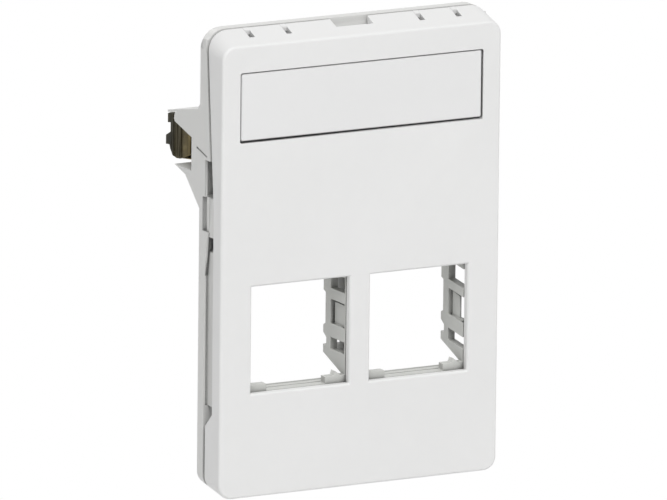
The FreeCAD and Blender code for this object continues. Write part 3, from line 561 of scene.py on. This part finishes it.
@dataclass(frozen=True)
class PassivatedSteel(Finish):
    """Zinc-plated steel with a yellow chromate film."""

    name: str
    film: Colour
    thin: Colour
    thick: Colour
    roughness: float
    metallic: float = 1.0
    streak_depth: float = 4.0e-6
    # Edges lighter from rubbing wear and painted highlight; painted shade in gaps.
    edge_share: float = 0.1
    corner_share: float = 0.12
    corner_tone: float = 0.3
    # Tip and prong darkening: painted shade from the arm and the roof, plus a darker chromate film.
    tip: Colour | None = None
    tip_start: float = 22.2 * MM
    tip_full: float = 23.7 * MM
    tip_share: float = 0.92
    prong: Colour = (0.026, 0.026, 0.02)
    prong_start: float = 24.0 * MM
    prong_full: float = 24.9 * MM
    prong_share: float = 0.95
    blotches: Waves = Waves(900.0, 3.0)
    blotch_reach: float = 1.0 * MM

    def build(self, effects: Effects) -> bpy.types.Material:
        """Make the material.

        Args:
            effects: Shared node groups.

        Returns:
            The finished material.
        """
        material, sheet = self.start()
        film = sheet.effect(
            effects.film,
            {
                "Film": opaque(self.film),
                "Thin film": opaque(self.thin),
                "Thick film": opaque(self.thick),
                "Roughness": self.roughness,
            },
        )
        relief = sheet.effect(
            effects.relief,
            {
                "Colour": self.darkened_tip(sheet, film["Colour"]) if self.tip else film["Colour"],
                "Edge colour": opaque(self.thin),
                "Corner colour": opaque(self.thick, self.corner_tone),
                "Edge share": self.edge_share,
                "Corner share": self.corner_share,
            },
        )
        self.close(
            sheet, relief["Colour"], film["Roughness"], film["Height"], self.streak_depth,
            Metallic=self.metallic,
        )
        return material

    def darkened_tip(self, sheet: NodeSheet, colour: Socket) -> Socket:
        """Darker colour towards the outer tip and prong: painted shade from the arm and the roof, plus a
        darker chromate film.

        Args:
            sheet: Sheet of the material.
            colour: Colour of the film.

        Returns:
            Colour that turns dark towards the sides of the outlet.
        """
        where = sheet.where()
        across = sheet.add("ShaderNodeSeparateXYZ", {"Vector": where}).outputs["X"]
        outwards = sheet.maths("ABSOLUTE", across, 0.0)
        blotch = sheet.maths("MULTIPLY", sheet.noise(where, self.blotches), self.blotch_reach)
        place = sheet.maths("ADD", outwards, blotch)
        near_tip = sheet.span(place, Ramp(self.tip_start, self.tip_full, 0.0, self.tip_share))
        on_prong = sheet.span(place, Ramp(self.prong_start, self.prong_full, 0.0, self.prong_share))
        return sheet.mix(on_prong, sheet.mix(near_tip, colour, opaque(self.tip)), opaque(self.prong))


@dataclass(frozen=True)
class OpalSheet(Finish):
    """Label window: smooth opal sheet, glossier than the mouldings."""

    name: str
    colour: Colour
    roughness: float
    roughness_drift: float = 0.012
    cloud: float = 0.012
    grain_per_m: float = 2400.0
    grain_depth: float = 0.4e-6
    specular: float = 0.5
    coat: float = 0.25
    coat_roughness: float = 0.22

    def build(self, effects: Effects) -> bpy.types.Material:
        """Make the material.

        Args:
            effects: Shared node groups.

        Returns:
            The finished material.
        """
        material, sheet = self.start()
        skin = sheet.effect(
            effects.skin,
            {
                "Colour": opaque(self.colour),
                "Cloud": self.cloud,
                "Grain per metre": self.grain_per_m,
                "Roughness": self.roughness,
                "Roughness drift": self.roughness_drift,
            },
        )
        self.close(
            sheet, skin["Colour"], skin["Roughness"], skin["Height"], self.grain_depth,
            Specular_IOR_Level=self.specular, Coat_Weight=self.coat, Coat_Roughness=self.coat_roughness,
        )
        return material


@dataclass(frozen=True)
class UncoatedCard(Finish):
    """Label card: matt paper with fibres."""

    name: str
    colour: Colour
    roughness: float = 0.85
    cloud: float = 0.05
    specular: float = 0.2
    fibres: Waves = Waves(5200.0, 4.0, 0.7)
    fibre_lay: Place = (0.25, 1.0, 1.0)
    fibre_depth: float = 8.0e-6

    def build(self, effects: Effects) -> bpy.types.Material:
        """Make the material.

        Args:
            effects: Shared node groups.

        Returns:
            The finished material.
        """
        material, sheet = self.start()
        lain = sheet.add("ShaderNodeMapping", {"Vector": sheet.where(), "Scale": self.fibre_lay}).outputs[0]
        fibre = sheet.noise(lain, self.fibres)
        skin = sheet.effect(
            effects.skin,
            {"Colour": opaque(self.colour), "Cloud": self.cloud, "Roughness": self.roughness},
        )
        self.close(
            sheet, skin["Colour"], skin["Roughness"], fibre, self.fibre_depth,
            Specular_IOR_Level=self.specular,
        )
        return material


@dataclass
class Wardrobe:
    """All finishes of the outlet, ready to be worn."""

    effects: Effects = field(default_factory=Effects)
    cover: MouldedPlastic = MouldedPlastic("satin_cover_white", (0.83, 0.83, 0.825), 0.42)
    # Frame: its pit share paints shade in its pockets and recesses.
    frame: MouldedPlastic = MouldedPlastic(
        "satin_frame_white", (0.75, 0.75, 0.735), 0.46, grain_per_m=4200.0, pit_share=0.25
    )
    # Carrier: greyer than the cover and darkened further as painted shade inside the bays; the pit share
    # paints shade in the bays over a wide reach.
    carrier: MouldedPlastic = MouldedPlastic(
        "satin_carrier_white", (0.62, 0.625, 0.60), 0.44,
        grain_per_m=4600.0, pit_share=0.5, pit_reach=9.0 * MM,
    )
    window: OpalSheet = OpalSheet("opal_label_sheet", (0.82, 0.82, 0.818), 0.30)
    card: UncoatedCard = UncoatedCard("uncoated_label_card", (0.86, 0.855, 0.84))
    # Claw: its dark tip colour is partly painted shade from the arm and the roof.
    claw: PassivatedSteel = PassivatedSteel(
        "passivated_claw_steel", (0.23, 0.175, 0.065), (0.38, 0.31, 0.15), (0.11, 0.083, 0.03), 0.42,
        metallic=0.35, tip=(0.092, 0.082, 0.052),
    )
    drive: PassivatedSteel = PassivatedSteel(
        "passivated_drive_steel", (0.25, 0.205, 0.09), (0.38, 0.34, 0.22), (0.13, 0.105, 0.045), 0.34
    )

    def __post_init__(self) -> None:
        """Build one material per finish."""
        self.worn: dict[str, bpy.types.Material] = {
            label: getattr(self, label).build(self.effects)
            for label in ("cover", "frame", "carrier", "window", "card", "claw", "drive")
        }


@dataclass(frozen=True)
class Block:
    """Box in the shared frame, between two bounds in millimetres along each axis.

    With a lean, the box shifts along Y by that share of the height above its foot.
    """

    x: tuple[float, float]
    y: tuple[float, float]
    z: tuple[float, float]
    lean: float = 0.0

    def mirrored(self, side: Side) -> "Block":
        """Same box on one side of the outlet.

        Args:
            side: Side that the box goes to; the box itself is drawn on the right.

        Returns:
            The box, or its mirror image in the outlet's middle plane.
        """
        return self if side is Side.RIGHT else replace(self, x=(-self.x[1], -self.x[0]))

    def add_to(self, work: bmesh.types.BMesh) -> None:
        """Add the box to a bmesh.

        Args:
            work: Bmesh that takes the box.
        """
        spans = (self.x, self.y, self.z)
        middle = Vector([(low + high) / 2 * MM for low, high in spans])
        reach = Matrix.Diagonal((*((high - low) * MM for low, high in spans), 1.0))
        made = bmesh.ops.create_cube(work, size=1.0, matrix=Matrix.Translation(middle) @ reach)
        for corner in made["verts"]:
            corner.co.y += self.lean * (corner.co.z - self.z[0] * MM)


class MeshShop:
    """Ways of making meshes that the sub-assemblies share."""

    WELD = 2.0e-6
    FLAT = math.radians(0.6)
    SHARP = math.radians(24.0)
    CREASE = math.radians(50.0)
    ROUND_STEPS = 2
    ROOM = 1.1
    LEAST_BEND = 1.0e-9
    HEEL_SLOPE = 0.165
    HEEL_START = -31.0 * MM
    HEEL_FULL = -34.0 * MM

    @classmethod
    def softened(cls, node: str, width: float = 0.0, cuts: tuple[Block, ...] = ()) -> bpy.types.Object:
        """Copy of a CAD node with small rounds on the sharp edges that have room for them.

        Args:
            node: Name of the CAD node.
            width: Width of the rounds in metres, or 0 to keep the edges sharp.
            cuts: Fine gaps that are cut afterwards.

        Returns:
            New object that stands for the node, riding on its body.
        """
        source = frame["nodes"][node]
        work = bmesh.new()
        work.from_mesh(source.data)
        bmesh.ops.remove_doubles(work, verts=work.verts[:], dist=cls.WELD)
        bmesh.ops.dissolve_limit(work, angle_limit=cls.FLAT, verts=work.verts[:], edges=work.edges[:])
        if width:
            bmesh.ops.bevel(
                work, geom=cls.edges_with_room(work, width), offset=width, offset_type="OFFSET",
                segments=cls.ROUND_STEPS, profile=0.5, affect="EDGES", clamp_overlap=True, loop_slide=True,
            )
        if cuts:
            cls.carve(work, cuts)
        cls.raise_heel(work)
        return cls.finish(work, f"{node}_shell", node)

    @classmethod
    def crowded(
        cls, side: bmesh.types.BMLoop, rounds: set[bmesh.types.BMEdge], width: float
    ) -> bmesh.types.BMEdge | None:
        """Find an edge that has no room for its round at one side of a face.

        Args:
            side: Side of the face that is looked at.
            rounds: Edges that are to be rounded.
            width: Width of the rounds in metres.

        Returns:
            The edge that has to stay sharp, or None.
        """
        before, after = side.link_loop_prev, side.link_loop_next
        here = width if side.edge in rounds else 0.0
        taken = []
        for near, corner in ((before, side), (after, after)):
            beside = width if near.edge in rounds else 0.0
            angle = corner.calc_angle()
            bend = max(math.sin(angle), cls.LEAST_BEND)
            if here and not beside and near.edge.calc_length() * bend < cls.ROOM * width:
                return side.edge
            taken.append((beside + math.cos(angle) * here) / bend)
        if side.edge.calc_length() > cls.ROOM * sum(taken):
            return None
        if here:
            return side.edge
        return before.edge if taken[0] >= taken[1] else after.edge

    @classmethod
    def edges_with_room(cls, work: bmesh.types.BMesh, width: float) -> list[bmesh.types.BMEdge]:
        """Pick the sharp edges whose rounds don't run into each other.

        Args:
            work: Bmesh whose edges are rounded.
            width: Width of the rounds in metres.

        Returns:
            The edges to round, in the order of the bmesh.
        """
        closed = (edge for edge in work.edges if len(edge.link_faces) == 2)
        rounds = {edge for edge in closed if edge.calc_face_angle(0.0) > cls.SHARP}
        full = True
        while full:
            found = {cls.crowded(side, rounds, width) for face in work.faces for side in face.loops}
            full = bool(found & rounds)
            rounds -= found
        return [edge for edge in work.edges if edge in rounds]

    @classmethod
    def raise_heel(cls, work: bmesh.types.BMesh) -> None:
        """Let the lower edge rise a little from the front towards the wall.

        Args:
            work: Bmesh, changed in place.
        """
        front = CAD_BOX[0].y
        for corner in work.verts:
            share = (cls.HEEL_START - corner.co.z) / (cls.HEEL_START - cls.HEEL_FULL)
            corner.co.z += cls.HEEL_SLOPE * min(1.0, max(0.0, share)) * (corner.co.y - front)

    @classmethod
    def carve(cls, work: bmesh.types.BMesh, cuts: tuple[Block, ...]) -> None:
        """Cut boxes out of a closed bmesh.

        Args:
            work: Closed bmesh, changed in place.
            cuts: Boxes to cut away.
        """
        bmesh.ops.recalc_face_normals(work, faces=work.faces[:])
        blank = cls.loose("carved_blank", work)
        tools = []
        for cut in cuts:
            box = bmesh.new()
            cut.add_to(box)
            tools.append(cls.loose("carving_tool", box))
            box.free()
            carving = blank.modifiers.new("carving", "BOOLEAN")
            carving.operation = "DIFFERENCE"
            carving.solver = "EXACT"
            carving.object = tools[-1]
        graph = bpy.context.evaluated_depsgraph_get()
        result = bpy.data.meshes.new_from_object(blank.evaluated_get(graph))
        work.clear()
        work.from_mesh(result)
        for mesh in (result, blank.data, *(tool.data for tool in tools)):
            bpy.data.meshes.remove(mesh)

    @staticmethod
    def loose(name: str, work: bmesh.types.BMesh) -> bpy.types.Object:
        """Plain object with a bmesh's shape.

        Args:
            name: Name of the object and its mesh.
            work: Shape, kept as it is.

        Returns:
            The new object in the scene.
        """
        mesh = bpy.data.meshes.new(name)
        work.to_mesh(mesh)
        thing = bpy.data.objects.new(name, mesh)
        bpy.context.scene.collection.objects.link(thing)
        return thing

    @classmethod
    def finish(
        cls, work: bmesh.types.BMesh, name: str, node: str, stands_in: bool = True
    ) -> bpy.types.Object:
        """Turn a bmesh into a smooth-shaded object on the body of a CAD node.

        Args:
            work: Finished bmesh, freed here.
            name: Name of the new piece.
            node: CAD node that the piece belongs to.
            stands_in: Whether the piece is shown instead of that node.

        Returns:
            The new object, riding on the node's body.
        """
        bmesh.ops.recalc_face_normals(work, faces=work.faces[:])
        for face in work.faces:
            face.smooth = True
        piece = cls.loose(name, work)
        work.free()
        piece.data.set_sharp_from_angle(angle=cls.CREASE)
        weighted = piece.modifiers.new("flat_faces", "WEIGHTED_NORMAL")
        weighted.keep_sharp = True
        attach(piece, frame["nodes"][node]["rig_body"])
        if stands_in:
            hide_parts(node)
        return piece


class SubAssembly:
    """Base of the sub-assemblies: builds pieces, dresses them and reports them."""

    def wear(self, piece: bpy.types.Object, material: bpy.types.Material, slot: str) -> None:
        """Give a piece its material.

        Args:
            piece: Piece to dress.
            material: Finished material.
            slot: Material slot of the record; not used.
        """
        piece.data.materials.clear()
        piece.data.materials.append(material)
        log.info("%s: %s, %d faces", type(self).__name__, piece.name, len(piece.data.polygons))


@dataclass
class CoverShell(SubAssembly):
    """Front cover of the outlet, with a bridge behind each slit of its snap tongues.

    The sizes and places of the bridges are in millimetres.
    """

    edge_break: float = 0.10 * MM
    top: float = 37.5
    rear: float = -2.5
    slope_drop: float = 1.9
    slope_run: float = 4.9
    bridge_length: float = 0.8
    bridge_depth: float = 0.7
    bridge_inset: float = 0.02
    slit_half: float = 0.46
    slit_places: tuple[float, ...] = (-18.5, -11.9, 11.9, 18.5)

    def build(self, wardrobe: Wardrobe) -> None:
        """Build and dress the cover.

        Args:
            wardrobe: Finishes of the outlet.
        """
        piece = MeshShop.softened("front_cover", self.edge_break)
        self.wear(piece, wardrobe.worn["cover"], "cover_white")
        self.wear(self.bridges(), wardrobe.worn["cover"], "cover_white")

    def bridges(self) -> bpy.types.Object:
        """Wedges that close the rear ends of the slits, flush with the sloping top.

        Returns:
            One piece with all the wedges.
        """
        work = bmesh.new()
        run = (self.rear - self.bridge_length, self.rear - self.bridge_inset)
        for place in self.slit_places:
            across = (place - self.slit_half, place + self.slit_half)
            Block(across, run, (self.top - self.bridge_depth, self.top)).add_to(work)
        slope = self.slope_drop / self.slope_run
        for corner in work.verts:
            corner.co.z -= (self.rear * MM - corner.co.y) * slope
        return MeshShop.finish(work, "slit_bridges", "front_cover", stands_in=False)


@dataclass
class LabelField(SubAssembly):
    """Label card and the opal window over it."""

    edge_break: float = 0.05 * MM

    def build(self, wardrobe: Wardrobe) -> None:
        """Build and dress the window and the card.

        Args:
            wardrobe: Finishes of the outlet.
        """
        window = MeshShop.softened("label_window", self.edge_break)
        self.wear(window, wardrobe.worn["window"], "label_clear")
        card = MeshShop.softened("label_card", self.edge_break)
        self.wear(card, wardrobe.worn["card"], "label_paper")


@dataclass
class MountingFrame(SubAssembly):
    """Frame behind the cover, with its claw pockets, fine gaps beside the rails and full side blocks.

    Its edges stay sharp. The boxes are drawn on the right and mirrored to the left.
    """

    side_recess: Block = Block((22.6, 24.55), (-1.95, -1.15), (10.8, 16.6))
    rail_gap: Block = Block((24.30, 24.68), (-2.0, -1.6), (-23.0, -2.05))
    slanting_gap: Block = Block((24.30, 24.68), (-2.0, -1.5), (-2.05, 5.0), lean=-0.125)
    block_pad: Block = Block((23.5, 24.64), (-2.8, -1.95), (5.21, 10.69))
    trench_pad: Block = Block((23.6, 24.28), (-3.32, -1.8), (-22.95, 1.9))

    def build(self, wardrobe: Wardrobe) -> None:
        """Build and dress the frame and the pads on its rails.

        Args:
            wardrobe: Finishes of the outlet.
        """
        gaps = (self.side_recess, self.rail_gap, self.slanting_gap)
        cuts = tuple(gap.mirrored(side) for side in Side for gap in gaps)
        piece = MeshShop.softened("mounting_frame", cuts=cuts)
        self.wear(piece, wardrobe.worn["frame"], "frame_white")
        work = bmesh.new()
        for side in Side:
            for pad in (self.block_pad, self.trench_pad):
                pad.mirrored(side).add_to(work)
        pads = MeshShop.finish(work, "rail_pads", "mounting_frame", stands_in=False)
        self.wear(pads, wardrobe.worn["frame"], "frame_white")


@dataclass
class ConnectorCarrier(SubAssembly):
    """Latticed carrier behind the two bays, with slotted latches and grooved floors.

    The boxes are drawn on the right and mirrored to the left.
    """

    edge_break: float = 0.09 * MM
    latch_slot: Block = Block((19.86, 20.6), (-4.85, -3.9), (-12.9, -8.7))
    latch_slot_rear: Block = Block((20.15, 20.6), (-3.9, -2.9), (-12.9, -8.7))
    rear_groove: Block = Block((1.9, 19.3), (-2.75, -2.2), (-20.95, -20.5))
    front_groove: Block = Block((1.9, 19.3), (-4.3, -3.95), (-20.85, -20.5))

    def build(self, wardrobe: Wardrobe) -> None:
        """Build and dress the carrier.

        Args:
            wardrobe: Finishes of the outlet.
        """
        gaps = (self.latch_slot, self.latch_slot_rear, self.rear_groove, self.front_groove)
        cuts = tuple(gap.mirrored(side) for side in Side for gap in gaps)
        piece = MeshShop.softened("connector_carrier", self.edge_break, cuts)
        self.wear(piece, wardrobe.worn["carrier"], "carrier_white")


@dataclass(frozen=True)
class Ring:
    """Ring of a turned piece: place along its axis, radius and share of the thread's depth."""

    place: float
    radius: float
    thread: float = 0.0


@dataclass
class ClawDrive(SubAssembly):
    """One claw with its hinge pin, threaded screw and cross nut.

    The crown's points are depths below the head's top and distances from its rim. They and the slot are in
    millimetres.
    """

    side: Side
    edge_break: float = 0.08 * MM
    crown: tuple[tuple[float, float], ...] = ((0.0, 0.85), (0.06, 0.5), (0.4, 0.12), (0.8, 0.0))
    head_height: float = 1.9 * MM
    head_break: float = 0.1 * MM
    slot_width: float = 0.8
    slot_depth: float = 1.0
    neck_inset: float = 0.1 * MM
    neck_end: float = 1.2 * MM
    thread_radius: float = 1.5 * MM
    thread_fit: float = 0.02 * MM
    thread_depth: float = 0.29 * MM
    pitch: float = 0.5 * MM
    crest_share: float = 0.2
    root_share: float = 0.25
    point_length: float = 0.7 * MM
    point_inset: float = 0.6 * MM
    rows_per_turn: int = 8
    spokes: int = 32

    def build(self, wardrobe: Wardrobe) -> None:
        """Build and dress the four pieces of this side.

        Args:
            wardrobe: Finishes of the outlet.
        """
        word = self.side.word
        claw = MeshShop.softened(f"{word}_claw", self.edge_break)
        self.wear(claw, wardrobe.worn["claw"], "claw_steel")
        for part in ("pin", "nut"):
            piece = MeshShop.softened(f"{word}_claw_{part}", self.edge_break)
            self.wear(piece, wardrobe.worn["drive"], "drive_steel")
        self.wear(self.screw(), wardrobe.worn["drive"], "drive_steel")

    def thread_share(self, phase: float) -> float:
        """Height of the thread at a phase of its pitch.

        Args:
            phase: Place along one pitch, from 0 to 1.

        Returns:
            Share of the thread's depth, 1 at the crest.
        """
        away = abs(phase - 0.5) * 2.0
        flank = 1.0 - self.crest_share - self.root_share
        return max(0.0, min(1.0, 1.0 - (away - self.crest_share) / flank))

    def profile(self, top: float, end: float, head: float) -> list[Ring]:
        """Rings of the screw, from the head's top to the point.

        Args:
            top: Place of the head's top.
            end: Place of the screw's end.
            head: Radius of the head.

        Returns:
            The rings in order.
        """
        seat = top + self.head_height
        neck = self.thread_radius - self.neck_inset
        rings = [Ring(top + depth * MM, head - inset * MM) for depth, inset in self.crown]
        rings.append(Ring(seat - self.head_break, head))
        rings.append(Ring(seat, head - self.head_break))
        rings.append(Ring(seat, neck))
        rings.append(Ring(self.neck_end, neck))
        step = self.pitch / self.rows_per_turn
        count = int((end - self.neck_end) / step)
        for row in range(1, count + 1):
            place = self.neck_end + row * step
            left = (end - place) / self.point_length
            radius = self.thread_radius - self.thread_fit - self.point_inset * max(0.0, 1.0 - left)
            rings.append(Ring(place, radius, min(1.0, row / self.rows_per_turn, left)))
        return rings

    def turned(self, rings: list[Ring], middle: Vector) -> bmesh.types.BMesh:
        """Closed skin through rings, with the thread's helix in it.

        Args:
            rings: Rings in order.
            middle: Point on the axis, at the frame's origin plane.

        Returns:
            The new bmesh.
        """
        work = bmesh.new()
        grid = []
        for ring in rings:
            corners = []
            for spoke in range(self.spokes):
                turn = spoke / self.spokes
                phase = (ring.place / self.pitch - turn) % 1.0
                reach = ring.radius - self.thread_depth * ring.thread * (1.0 - self.thread_share(phase))
                angle = 2.0 * math.pi * turn
                spot = Vector((reach * math.cos(angle), ring.place, -reach * math.sin(angle)))
                corners.append(work.verts.new(middle + spot))
            grid.append(corners)
        for row, after in zip(grid, grid[1:]):
            for spoke in range(self.spokes):
                beside = (spoke + 1) % self.spokes
                work.faces.new((row[spoke], row[beside], after[beside], after[spoke]))
        work.faces.new(grid[0])
        work.faces.new(grid[-1])
        return work

    def screw(self) -> bpy.types.Object:
        """Screw with a real helical thread and a slotted head.

        Returns:
            The piece that replaces the plain CAD screw.
        """
        node = f"{self.side.word}_claw_screw"
        low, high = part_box(node)
        head = (high.x - low.x) / 2
        middle = Vector(((low.x + high.x) / 2, 0.0, (low.z + high.z) / 2))
        work = self.turned(self.profile(low.y, high.y, head), middle)
        slot = Block(
            ((low.x - head) / MM, (high.x + head) / MM),
            (low.y / MM - self.slot_depth, low.y / MM + self.slot_depth),
            (middle.z / MM - self.slot_width / 2, middle.z / MM + self.slot_width / 2),
        )
        MeshShop.carve(work, (slot,))
        return MeshShop.finish(work, f"{node}_threaded", node)


@dataclass(frozen=True)
class SoftLamp:
    """One large area lamp aimed at the outlet."""

    name: str
    place: Place
    size: float
    power: float

    def build(self, target: Vector) -> None:
        """Hang the lamp and aim it.

        Args:
            target: Point that the lamp faces.
        """
        data = bpy.data.lights.new(self.name, "AREA")
        data.shape = "DISK"
        data.size = self.size
        data.energy = self.power
        lamp = bpy.data.objects.new(self.name, data)
        lamp.location = self.place
        lamp.rotation_mode = "QUATERNION"
        lamp.rotation_quaternion = (target - lamp.location).to_track_quat("-Z", "Y")
        bpy.context.scene.collection.objects.link(lamp)


@dataclass
class Studio:
    """White surroundings, pale floor and soft lamps."""

    white: Colour = (1.0, 1.0, 1.0)
    ambient: float = 0.495
    rear_share: float = 0.42
    rear_start: float = -0.1
    rear_full: float = 0.9
    floor_drop: float = 0.11
    floor_radius: float = 0.9
    floor_spokes: int = 96
    floor_tones: tuple[Colour, Colour] = ((0.90, 0.90, 0.90), (0.93, 0.93, 0.93))
    mottle: Waves = Waves(40.0, 3.0)
    mottle_span: Ramp = Ramp(0.3, 0.7)
    clear_radius: float = 0.12
    fade_radius: float = 0.35
    lamps: tuple[SoftLamp, ...] = (
        SoftLamp("high_key", (-0.27, -0.86, 1.20), 0.9, 13.2),
        SoftLamp("low_fill", (0.05, -0.42, -0.34), 0.35, 1.5),
        SoftLamp("rear_fill", (0.0, 0.9, 0.25), 0.6, 2.0),
    )

    def build(self) -> None:
        """Set the world, the floor and the lamps."""
        self.world()
        self.floor()
        low, high = CAD_BOX
        for lamp in self.lamps:
            lamp.build((low + high) / 2)

    @staticmethod
    def white_seen(sheet: NodeSheet) -> Socket:
        """Mask of the rays that see the white surroundings.

        Args:
            sheet: Sheet to add the mask to.

        Returns:
            Socket that is 1 for camera, glossy and transmitted rays.
        """
        path = sheet.add("ShaderNodeLightPath").outputs
        seen = sheet.maths("MAXIMUM", path["Is Camera Ray"], path["Is Glossy Ray"])
        return sheet.maths("MAXIMUM", seen, path["Is Transmission Ray"])

    def world(self) -> None:
        """White to the eye and to reflections, softer as a light, and dimmer from behind the outlet."""
        world = bpy.data.worlds.new("white_room")
        world.use_nodes = True
        bpy.context.scene.world = world
        sheet = NodeSheet(world.node_tree)
        towards = sheet.add("ShaderNodeTexCoord").outputs["Generated"]
        depth = sheet.add("ShaderNodeSeparateXYZ", {"Vector": towards}).outputs["Y"]
        rear = self.ambient * self.rear_share
        level = sheet.span(depth, Ramp(self.rear_start, self.rear_full, self.ambient, rear))
        soft, white = (
            sheet.add("ShaderNodeBackground", {"Color": opaque(self.white), "Strength": strength}).outputs[0]
            for strength in (level, 1.0)
        )
        both = sheet.add("ShaderNodeMixShader", {0: self.white_seen(sheet), 1: soft, 2: white})
        sheet.add("ShaderNodeOutputWorld", {"Surface": both.outputs[0]})

    def floor(self) -> None:
        """Pale round floor well below the outlet."""
        work = bmesh.new()
        place = Matrix.Translation((0.0, 0.0, CAD_BOX[0].z - self.floor_drop))
        bmesh.ops.create_circle(
            work, cap_ends=True, segments=self.floor_spokes, radius=self.floor_radius, matrix=place
        )
        floor = MeshShop.loose("pale_floor", work)
        work.free()
        floor.data.materials.append(self.floor_paint())

    def floor_paint(self) -> bpy.types.Material:
        """Pale matt paint that fades into the white room.

        Returns:
            The finished material.
        """
        material = bpy.data.materials.new("pale_floor")
        material.use_nodes = True
        sheet = NodeSheet(material.node_tree)
        where = sheet.where()
        no_height = (1.0, 1.0, 0.0)
        flat = sheet.add("ShaderNodeVectorMath", {0: where, 1: no_height}, operation="MULTIPLY").outputs[0]
        away = sheet.add("ShaderNodeVectorMath", {0: flat}, operation="LENGTH").outputs["Value"]
        fade = sheet.span(away, Ramp(self.clear_radius, self.fade_radius))
        mottle = sheet.span(sheet.noise(where, self.mottle), self.mottle_span)
        tone = sheet.mix(mottle, *(opaque(tone) for tone in self.floor_tones))
        pale = sheet.add("ShaderNodeBsdfDiffuse", {"Color": tone})
        white = sheet.add("ShaderNodeEmission", {"Strength": 1.0})
        share = sheet.maths("MULTIPLY", fade, self.white_seen(sheet))
        both = sheet.add("ShaderNodeMixShader", {0: share, 1: pale.outputs[0], 2: white.outputs[0]})
        sheet.add("ShaderNodeOutputMaterial", {"Surface": both.outputs[0]})
        return material


@dataclass
class PhotoCamera:
    """Camera at the photograph's viewing angle, aimed near the middle of the front face."""

    azimuth: float = -28.26
    elevation: float = 12.72
    roll: float = 0.61
    distance: float = 2.786
    lens: float = 952.4
    sensor: float = 36.0
    clip_end: float = 20.0
    aim_right: float = -4.30 * MM
    aim_up: float = 0.82 * MM

    def build(self) -> None:
        """Place the camera and make it the scene's own."""
        turn, lift = math.radians(self.azimuth), math.radians(self.elevation)
        right = Vector((math.cos(turn), math.sin(turn), 0.0))
        back = Vector((math.sin(turn) * math.cos(lift), -math.cos(turn) * math.cos(lift), math.sin(lift)))
        up = back.cross(right)
        data = bpy.data.cameras.new("photo_camera")
        data.sensor_width = self.sensor
        data.sensor_fit = "HORIZONTAL"
        data.lens = self.lens
        data.clip_end = self.clip_end
        camera = bpy.data.objects.new("photo_camera", data)
        bpy.context.scene.collection.objects.link(camera)
        camera.rotation_mode = "QUATERNION"
        basis = Matrix((right, up, back)).transposed() @ Matrix.Rotation(math.radians(self.roll), 3, "Z")
        camera.rotation_quaternion = basis.to_quaternion()
        front = Vector((0.0, CAD_BOX[0].y, 0.0))
        shift = basis @ Vector((self.aim_right, self.aim_up, 0.0))
        camera.location = front + shift + back * self.distance
        bpy.context.scene.camera = camera


def main() -> None:
    """Build the outlet piece by piece, then the studio and the camera."""
    logging.basicConfig(level=logging.INFO, format="%(name)s: %(message)s")
    bpy.context.scene.view_settings.view_transform = "Standard"
    wardrobe = Wardrobe()
    assemblies = [CoverShell(), LabelField(), MountingFrame(), ConnectorCarrier()]
    assemblies.extend(ClawDrive(side) for side in Side)
    for assembly in assemblies:
        assembly.build(wardrobe)
    Studio().build()
    PhotoCamera().build()


if __name__ == "__main__":
    main()
